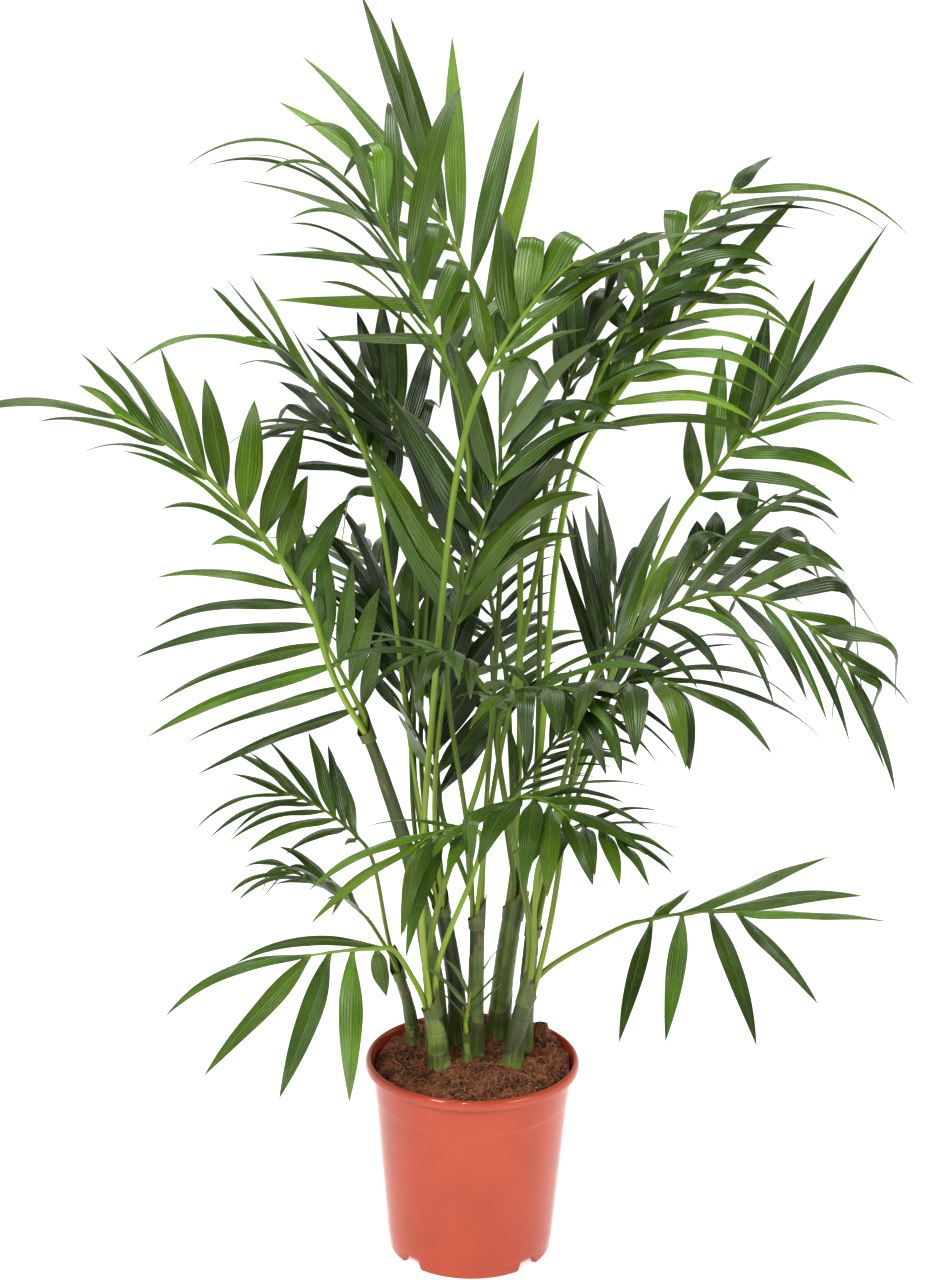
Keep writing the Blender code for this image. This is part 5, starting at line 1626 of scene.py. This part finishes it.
class NodeBench:
    """The node tree of one material, with a short call for each kind of node that is used."""

    def __init__(self, name: str) -> None:
        """Starts a material with its Principled shader.

        Args:
            name: The material's name.
        """
        self.material = bpy.data.materials.new(name)
        self.material.use_nodes = True
        self.tree = self.material.node_tree
        self.shader = self.tree.nodes["Principled BSDF"]

    def add(self, kind: str, **settings: str) -> bpy.types.Node:
        """A new node.

        Args:
            kind: Its type.
            settings: Its settings by name.

        Returns:
            The node.
        """
        node = self.tree.nodes.new(kind)
        for name, value in settings.items():
            setattr(node, name, value)
        return node

    def feed(self, socket: Socket, value: "Signal | Colour | float") -> None:
        """Links a socket to a signal, or sets it to a number or a colour.

        Args:
            socket: The socket.
            value: What it gets.
        """
        if isinstance(value, Signal):
            self.tree.links.new(value.socket, socket)
        else:
            socket.default_value = (*value, 1.0) if isinstance(value, tuple) else value

    def calc(self, operation: str, first: "Signal | float", second: "Signal | float") -> Signal:
        """One step of arithmetic.

        Args:
            operation: Its name.
            first: The first value.
            second: The second value.

        Returns:
            The result.
        """
        node = self.add("ShaderNodeMath", operation=operation)
        self.feed(node.inputs[0], first)
        self.feed(node.inputs[1], second)
        return Signal(self, node.outputs[0])

    def mix(self, share: "Signal | float", first: "Signal | Colour", second: "Signal | Colour",
            blend: str = "MIX") -> Signal:
        """Two colours mixed.

        Args:
            share: How much of the second colour there is.
            first: The first colour.
            second: The second colour.
            blend: The way of mixing.

        Returns:
            The mixed colour.
        """
        node = self.add("ShaderNodeMix", data_type="RGBA", blend_type=blend)
        for index, value in ((0, share), (6, first), (7, second)):
            self.feed(node.inputs[index], value)
        return Signal(self, node.outputs[2])

    def noise(self, vector: Signal, scale: float, detail: float = 3.0,
              roughness: float = 0.55) -> Signal:
        """Fractal noise from 0 to 1.

        Args:
            vector: Where it is read.
            scale: How fine it is.
            detail: How many octaves it has.
            roughness: How strong the fine octaves are.

        Returns:
            The noise.
        """
        node = self.add("ShaderNodeTexNoise")
        for name, value in (("Vector", vector), ("Scale", scale), ("Detail", detail),
                            ("Roughness", roughness)):
            self.feed(node.inputs[name], value)
        return Signal(self, node.outputs[0])

    def place(self) -> Signal:
        """The object's own coordinates."""
        return Signal(self, self.add("ShaderNodeTexCoord").outputs["Object"])

    def parts(self, vector: Signal) -> list[Signal]:
        """The three parts of a vector."""
        split = self.add("ShaderNodeSeparateXYZ")
        self.feed(split.inputs[0], vector)
        return [Signal(self, socket) for socket in split.outputs]

    def uv(self) -> list[Signal]:
        """The u and v of the piece's surface."""
        return self.parts(Signal(self, self.add("ShaderNodeUVMap", uv_map="surface").outputs[0]))[:2]

    def tone(self) -> list[Signal]:
        """The three tone values of the piece."""
        tone = self.add("ShaderNodeAttribute", attribute_name="tone")
        return self.parts(Signal(self, tone.outputs["Vector"]))

    def vector(self, *values: "Signal | float") -> Signal:
        """Three values as one vector."""
        node = self.add("ShaderNodeCombineXYZ")
        for socket, value in zip(node.inputs, values):
            self.feed(socket, value)
        return Signal(self, node.outputs[0])

    def relief(self, height: Signal, strength: float, depth: float,
               below: Signal | None = None) -> Signal:
        """A bump of a height field.

        Args:
            height: The height field.
            strength: How much of the bump is seen.
            depth: The height of 1 in the field, in metres.
            below: Another bump that this one lies on.

        Returns:
            The bent normal.
        """
        node = self.add("ShaderNodeBump")
        for name, value in (("Height", height), ("Strength", strength), ("Distance", depth)):
            self.feed(node.inputs[name], value)
        if below is not None:
            self.feed(node.inputs["Normal"], below)
        return Signal(self, node.outputs[0])

    def finish(self, colour: Signal, roughness: Signal | float, normal: Signal | None = None,
               **constants: float) -> bpy.types.Material:
        """Feeds the shader.

        Args:
            colour: The base colour.
            roughness: The roughness.
            normal: The last bump.
            constants: Values for other sockets, by name with _ for a space.

        Returns:
            The material.
        """
        self.feed(self.shader.inputs["Base Color"], colour)
        self.feed(self.shader.inputs["Roughness"], roughness)
        if normal is not None:
            self.feed(self.shader.inputs["Normal"], normal)
        for name, value in constants.items():
            self.feed(self.shader.inputs[name.replace("_", " ")], value)
        return self.material


@dataclass(frozen=True)
class LeafFinish:
    """A glossy green blade with fine lengthwise veins, a pale midrib and a greyer underside."""

    shade: Colour = (0.013, 0.030, 0.006)
    mid: Colour = (0.056, 0.119, 0.010)
    sun: Colour = (0.148, 0.300, 0.016)
    under: Colour = (0.125, 0.175, 0.070)
    midrib: Colour = (0.150, 0.235, 0.045)
    root: Colour = (0.150, 0.230, 0.035)
    dry: Colour = (0.300, 0.190, 0.075)
    warm: Colour = (1.28, 1.06, 0.80)
    margin: Colour = (0.095, 0.060, 0.020)
    veins: float = 8.0
    gloss: float = 0.27
    under_gloss: float = 0.44
    shine: float = 0.45

    def material(self) -> bpy.types.Material:
        """The finish as nodes. u runs over the face from 0 to 1 and back underneath to 2."""
        bench = NodeBench("leaf_blade")
        u, v = bench.uv()
        light, age, root = bench.tone()
        face_u, under = u.calc("PINGPONG", 1.0), u.calc("GREATER_THAN", 1.0)
        aside = (face_u - 0.5).calc("ABSOLUTE")
        rib = aside.span(0.008, 0.030, 1.0, 0.0)
        streak = bench.noise(bench.vector(face_u * 30.0, v * 1.6, light * 43.0), 1.0, 4.0, 0.6)
        cloud = bench.noise(bench.place(), 14.0, 2.0)
        vein = (face_u * (2 * math.pi * self.veins)).calc("SINE")
        # Painted shade: the tone's lightness gives inner and back fronds the darker greens.
        level = light + (streak * 0.5 + cloud * 0.35 - 0.42)
        green = bench.mix(level.span(0.0, 0.55), self.shade, self.mid)
        green = bench.mix(level.span(0.45, 1.1), green, self.sun)
        green = bench.mix(age.span(0.0, 0.5), green, self.warm, "MULTIPLY")
        green = bench.mix(vein.span(-0.2, 1.0, 0.0, 0.34), green, self.shade)
        below = bench.mix(streak.span(0.3, 0.8, 0.0, 0.45), self.under, self.mid)
        face = bench.mix(rib * 0.45, green, self.midrib)
        colour = bench.mix(under, face, bench.mix(rib, below, self.midrib))
        colour = bench.mix(aside.span(0.470, 0.495, 0.0, 0.6), colour, self.margin)
        colour = bench.mix(root.span(0.15, 0.9), colour, self.root)
        colour = bench.mix(age.span(0.55, 0.95), colour, self.dry)
        rough = streak * 0.18 + (self.gloss - 0.09) + under * (self.under_gloss - self.gloss)
        bump = bench.relief(streak, 0.16, 0.00050, bench.relief(vein, 0.40, 0.00035))
        return bench.finish(colour, rough, bump, Specular_IOR_Level=self.shine)


@dataclass(frozen=True)
class StalkFinish:
    """Smooth green stalks with lengthwise streaks, yellower and paler towards the foot."""

    green: Colour = (0.045, 0.080, 0.014)
    bright: Colour = (0.240, 0.370, 0.038)
    yellow: Colour = (0.400, 0.500, 0.070)
    scuff: Colour = (0.100, 0.070, 0.030)
    shine: float = 0.3

    def material(self) -> bpy.types.Material:
        """The finish as nodes. u runs round the stalk and v along it in units of ten centimetres."""
        bench = NodeBench("stalk_skin")
        u, v = bench.uv()
        light, age, _ = bench.tone()
        streak = bench.noise(bench.vector(u * 26.0, v, light * 31.0), 1.0, 4.0, 0.65)
        spot = bench.noise(bench.place(), 420.0, 2.0, 0.7)
        # Painted shade: the tone's lightness is low on stalks of inner and back fronds.
        level = light + (streak - 0.5)
        colour = bench.mix(level.span(0.1, 0.9), self.green, self.bright)
        colour = bench.mix(age * streak.span(0.30, 0.62, 0.25, 1.0), colour, self.yellow)
        colour = bench.mix(spot.span(0.70, 0.78, 0.0, 0.55), colour, self.scuff)
        bump = bench.relief(streak, 0.25, 0.00045)
        return bench.finish(colour, streak * 0.2 + 0.28, bump, Specular_IOR_Level=self.shine)


@dataclass(frozen=True)
class SheathFinish:
    """Green leaf sheaths with fine ribs, dark patches, and edges dried to brown paper."""

    green: Colour = (0.125, 0.185, 0.040)
    deep: Colour = (0.052, 0.066, 0.025)
    bright: Colour = (0.255, 0.360, 0.062)
    paper: Colour = (0.280, 0.160, 0.090)
    rust: Colour = (0.080, 0.038, 0.024)
    tan: Colour = (0.420, 0.360, 0.210)
    ribs: float = 34.0

    def material(self) -> bpy.types.Material:
        """The finish as nodes, on the same u and v as the stalks."""
        bench = NodeBench("sheath_skin")
        u, v = bench.uv()
        light, age, foot = bench.tone()
        place = bench.place()
        streak = bench.noise(bench.vector(u * 22.0, v * 1.4, 3.0), 1.0, 5.0, 0.65)
        patch = bench.noise(place, 55.0, 4.0, 0.6)
        speck = bench.noise(place, 900.0, 2.0, 0.6)
        rib = (u * (2 * math.pi * self.ribs)).calc("SINE")
        level = light + (streak - 0.5)
        colour = bench.mix(level.span(0.0, 0.9), self.deep, self.green)
        colour = bench.mix((level + foot * 0.5).span(0.6, 1.2), colour, self.bright)
        colour = bench.mix(patch.span(0.42, 0.74, 0.0, 0.75), colour, self.deep)
        blot = foot * bench.noise(place, 52.0, 5.0, 0.7).span(0.52, 0.68)
        colour = bench.mix(blot.span(0.20, 0.65, 0.0, 0.75), colour, self.tan)
        dry = (age + (streak - 0.5) * 0.9).span(0.28, 0.50)
        brown = bench.mix(streak.span(0.35, 0.65), self.rust, self.paper)
        colour = bench.mix(dry, colour, brown)
        colour = bench.mix(speck.span(0.72, 0.80, 0.0, 0.5), colour, self.rust)
        rough = dry * 0.35 + streak.span(0.2, 0.8, 0.32, 0.5)
        bump = bench.relief(streak, 0.40, 0.00070, bench.relief(rib, 0.18, 0.00020))
        return bench.finish(colour, rough, bump)


@dataclass(frozen=True)
class PotFinish:
    """Terracotta-coloured plastic: smooth and glossy, with painted shade in the corner under its lip."""

    body: Colour = (0.430, 0.067, 0.029)
    worn: Colour = (0.382, 0.060, 0.026)
    dusty: Colour = (0.480, 0.130, 0.080)
    painted_lip_shade: Colour = (0.150, 0.030, 0.016)
    lip_shade_from: float = 0.2085
    lip_shade_to: float = 0.2150
    lip_foot: float = 0.2165

    def material(self) -> bpy.types.Material:
        """The finish as nodes. The u runs round the pot, and age marks its inside."""
        bench = NodeBench("terracotta_plastic")
        place = bench.place()
        u, v = bench.uv()
        _, inside, _ = bench.tone()
        height = bench.parts(place)[2]
        cloud = bench.noise(place, 16.0, 3.0, 0.6)
        grain = bench.noise(place, 1400.0, 2.0, 0.5)
        scratch = bench.noise(bench.vector(u * 9.0, v * 160.0, 0.0), 1.0, 3.0, 0.7)
        colour = bench.mix(cloud.span(0.3, 0.7), self.body, self.worn)
        colour = bench.mix(scratch.span(0.62, 0.80, 0.0, 0.05), colour, self.dusty)
        colour = bench.mix(inside * 0.35, colour, self.worn)
        # Painted shade: a dark band on the wall just under the overhanging lip, where its shadow falls.
        painted_lip_shade = height.span(self.lip_shade_from, self.lip_shade_to, 0.0, 0.55)
        colour = bench.mix(painted_lip_shade * height.calc("LESS_THAN", self.lip_foot), colour, self.painted_lip_shade)
        rough = cloud * 0.08 + 0.09 + scratch.span(0.5, 0.8, 0.0, 0.03)
        bump = bench.relief(cloud, 0.08, 0.0010, bench.relief(grain, 0.06, 0.00012))
        return bench.finish(colour, rough, bump)


@dataclass(frozen=True)
class PeatFinish:
    """Damp dark red-brown peat and coir, matt, mottled at the scale of its crumbs, with painted shade in
    the hollows of its bumps.
    """

    damp_and_hollow_shade: Colour = (0.045, 0.017, 0.010)
    brown: Colour = (0.400, 0.138, 0.072)
    pale: Colour = (0.760, 0.400, 0.200)
    thread_long: float = 260.0
    thread_fine: float = 1500.0

    def material(self) -> bpy.types.Material:
        """The finish as nodes, with the crumbs' own lightness in the tone."""
        bench = NodeBench("damp_peat")
        place = bench.place()
        light, _, _ = bench.tone()
        field = bench.noise(place, 44.0, 2.0, 0.5)
        lump = bench.noise(place, 190.0, 5.0, 0.70)
        grain = bench.noise(place, 640.0, 4.0, 0.7)
        x, y, _ = bench.parts(place)
        along, athwart = (bench.noise(bench.vector(x * a, y * b, lump), 1.0, 3.0, 0.6)
                          for a, b in ((self.thread_fine, self.thread_long),
                                       (self.thread_long, self.thread_fine)))
        thread = along.calc("MAXIMUM", athwart)
        # The lump field is also the bump's height, so its low places come out darker: partly damp colour,
        # partly painted shade.
        level = light * 0.5 + lump * 0.6 + field.span(0.3, 0.7, -0.13, 0.12)
        colour = bench.mix(level.span(0.30, 0.75), self.damp_and_hollow_shade, self.brown)
        straw = thread.span(0.60, 0.72) * field.span(0.3, 0.6, 0.25, 0.95)
        colour = bench.mix(straw, colour, self.pale)
        # Painted shade: the low places of the lump and grain bumps are darkened toward the dark damp brown.
        colour = bench.mix(lump.span(0.48, 0.34, 0.0, 0.7), colour, self.damp_and_hollow_shade)
        colour = bench.mix(grain.span(0.44, 0.26, 0.0, 0.4), colour, self.damp_and_hollow_shade)
        bump = bench.relief(thread, 0.8, 0.0010, bench.relief(lump, 0.8, 0.0025))
        return bench.finish(colour, 0.88, bench.relief(grain, 0.7, 0.0010, bump))


@dataclass(frozen=True)
class CoirFinish:
    """Pale brown coconut fibre, each thread of its own lightness."""

    dark: Colour = (0.220, 0.080, 0.038)
    pale: Colour = (0.760, 0.440, 0.215)

    def material(self) -> bpy.types.Material:
        """The finish as nodes."""
        bench = NodeBench("coir")
        light, _, _ = bench.tone()
        _, v = bench.uv()
        band = bench.noise(bench.vector(v * 6.0, light, 0.0), 2.0, 2.0)
        colour = bench.mix((light * 0.8 + band * 0.4).span(0.2, 1.0), self.dark, self.pale)
        return bench.finish(colour, 0.7, bench.relief(band, 0.3, 0.0002))


@dataclass(frozen=True)
class Lamp:
    """A square soft light that looks at the plant's middle."""

    name: str
    place: tuple[float, float, float]
    size: float
    power: float


@dataclass(frozen=True)
class Studio:
    """A pale floor that curves up far behind, soft white light, and the photograph's camera."""

    camera_place: tuple[float, float, float] = (-0.0073, -2.53, 1.396)
    camera_pitch: float = 74.8
    camera_roll: float = 0.78
    lens: float = 69.07
    sensor: float = 36.0
    far: float = 100.0
    aim: tuple[float, float, float] = (0.0, 0.0, 0.7)
    floor_half: float = 14.0
    floor_bend: float = 9.0
    floor_sides: int = 72
    floor_tones: tuple[Colour, Colour] = ((0.86, 0.86, 0.86), (0.88, 0.88, 0.88))
    sky: float = 0.34
    floor_glow: float = 0.52
    lamps: tuple[Lamp, ...] = (
        Lamp("key_light", (-2.2, -2.6, 3.2), 1.0, 64.0),
        Lamp("front_light", (-0.45, -3.1, 3.1), 0.24, 20.0),
        Lamp("fill_light", (2.8, -2.2, 1.9), 1.5, 32.0),
        Lamp("top_light", (0.2, 0.6, 3.6), 1.8, 50.0),
    )

    def build(self) -> None:
        """Builds the floor, the light and the camera."""
        self.floor()
        self.light()
        self.camera()
        self.film()

    def floor(self) -> None:
        """A round floor whose height is 0 up to the bend and then rises as a quarter circle."""
        sides = self.floor_sides
        away = np.concatenate([[1.0, 3.0, 6.0], np.linspace(self.floor_bend, self.floor_half, 14)])
        rise = self.floor_half - self.floor_bend
        past = np.clip((away - self.floor_bend) / rise, 0, 1)
        height = rise * (1 - np.sqrt(1 - past ** 2))
        angle = 2 * np.pi * np.arange(sides) / sides
        points = np.stack([away[:, None] * np.cos(angle), away[:, None] * np.sin(angle),
                           np.broadcast_to(height[:, None], (len(away), sides))], axis=-1)
        r, k = (grid.ravel() for grid in np.meshgrid(np.arange(len(away) - 1), np.arange(sides),
                                                     indexing="ij"))
        on = (k + 1) % sides
        quads = np.stack([r * sides + k, (r + 1) * sides + k, (r + 1) * sides + on, r * sides + on],
                         axis=-1)
        mesh = bpy.data.meshes.new("studio_floor")
        mesh.from_pydata(points.reshape(-1, 3), [], quads.tolist() + [tuple(range(sides))])
        mesh.shade_smooth()
        bench = NodeBench("pale_floor")
        pale = bench.mix(bench.noise(bench.place(), 0.8, 2.0), *self.floor_tones)
        mesh.materials.append(bench.finish(pale, 0.9, Emission_Color=(1.0, 1.0, 1.0),
                                           Emission_Strength=self.floor_glow))
        floor = bpy.data.objects.new("studio_floor", mesh)
        bpy.context.scene.collection.objects.link(floor)

    def light(self) -> None:
        """The lamps, each turned to the plant, and an even white sky."""
        for lamp in self.lamps:
            data = bpy.data.lights.new(lamp.name, "AREA")
            data.shape, data.size, data.energy = "SQUARE", lamp.size, lamp.power
            made = bpy.data.objects.new(lamp.name, data)
            made.location = lamp.place
            toward = unit(np.array(self.aim) - np.array(lamp.place))
            flat = math.hypot(toward[0], toward[1])
            made.rotation_euler = (math.pi / 2 + math.atan2(toward[2], flat), 0.0,
                                   math.atan2(toward[1], toward[0]) - math.pi / 2)
            bpy.context.scene.collection.objects.link(made)
        world = bpy.data.worlds.new("studio_sky")
        world.use_nodes = True
        sky = world.node_tree.nodes["Background"]
        sky.inputs["Color"].default_value = (1.0, 1.0, 1.0, 1.0)
        sky.inputs["Strength"].default_value = self.sky
        bpy.context.scene.world = world

    def camera(self) -> None:
        """The camera that the photograph was taken with, rolled about its own line of sight."""
        data = bpy.data.cameras.new("camera")
        data.lens, data.sensor_width, data.clip_end = self.lens, self.sensor, self.far
        made = bpy.data.objects.new("camera", data)
        pitch, roll = math.radians(self.camera_pitch), math.radians(self.camera_roll)
        right = np.array([math.cos(roll), math.sin(roll) * math.cos(pitch),
                          math.sin(roll) * math.sin(pitch)])
        back = np.array([0.0, -math.sin(pitch), math.cos(pitch)])
        matrix = np.eye(4)
        matrix[:3, :3] = np.stack([right, np.cross(back, right), back], axis=1)
        matrix[:3, 3] = self.camera_place
        made.matrix_world = Matrix(matrix.tolist())
        bpy.context.scene.collection.objects.link(made)
        bpy.context.scene.camera = made

    def film(self) -> None:
        """A plain tone curve with a little more contrast, as the photograph has."""
        bpy.context.scene.view_settings.view_transform = "Standard"
        bpy.context.scene.view_settings.look = "Medium High Contrast"


@dataclass
class PottedPalm:
    """The whole dressed plant."""

    canes: tuple[Cane, ...]
    fronds: tuple[Frond, ...]

    def build(self) -> None:
        """Builds each sub-assembly in order, from the pot up."""
        NurseryPot().build(PotFinish().material())
        PottingSoil(self.canes).build(PeatFinish().material(), CoirFinish().material())
        sheath = SheathFinish().material()
        for cane in self.canes:
            SheathedCane(cane).build(sheath)
        clump = Clump(self.canes, self.fronds)
        clump.grow()
        blade, stalk = LeafFinish().material(), StalkFinish().material()
        for frond in self.fronds:
            FrondWork(frond, clump.stalks[frond.name], clump.blades[frond.name]).build(blade, stalk)


def main() -> None:
    """Builds the plant and its studio."""
    logging.basicConfig(level=logging.INFO, format="%(message)s")
    PottedPalm(CANES, FRONDS).build()
    Studio().build()


if __name__ == "__main__":
    main()
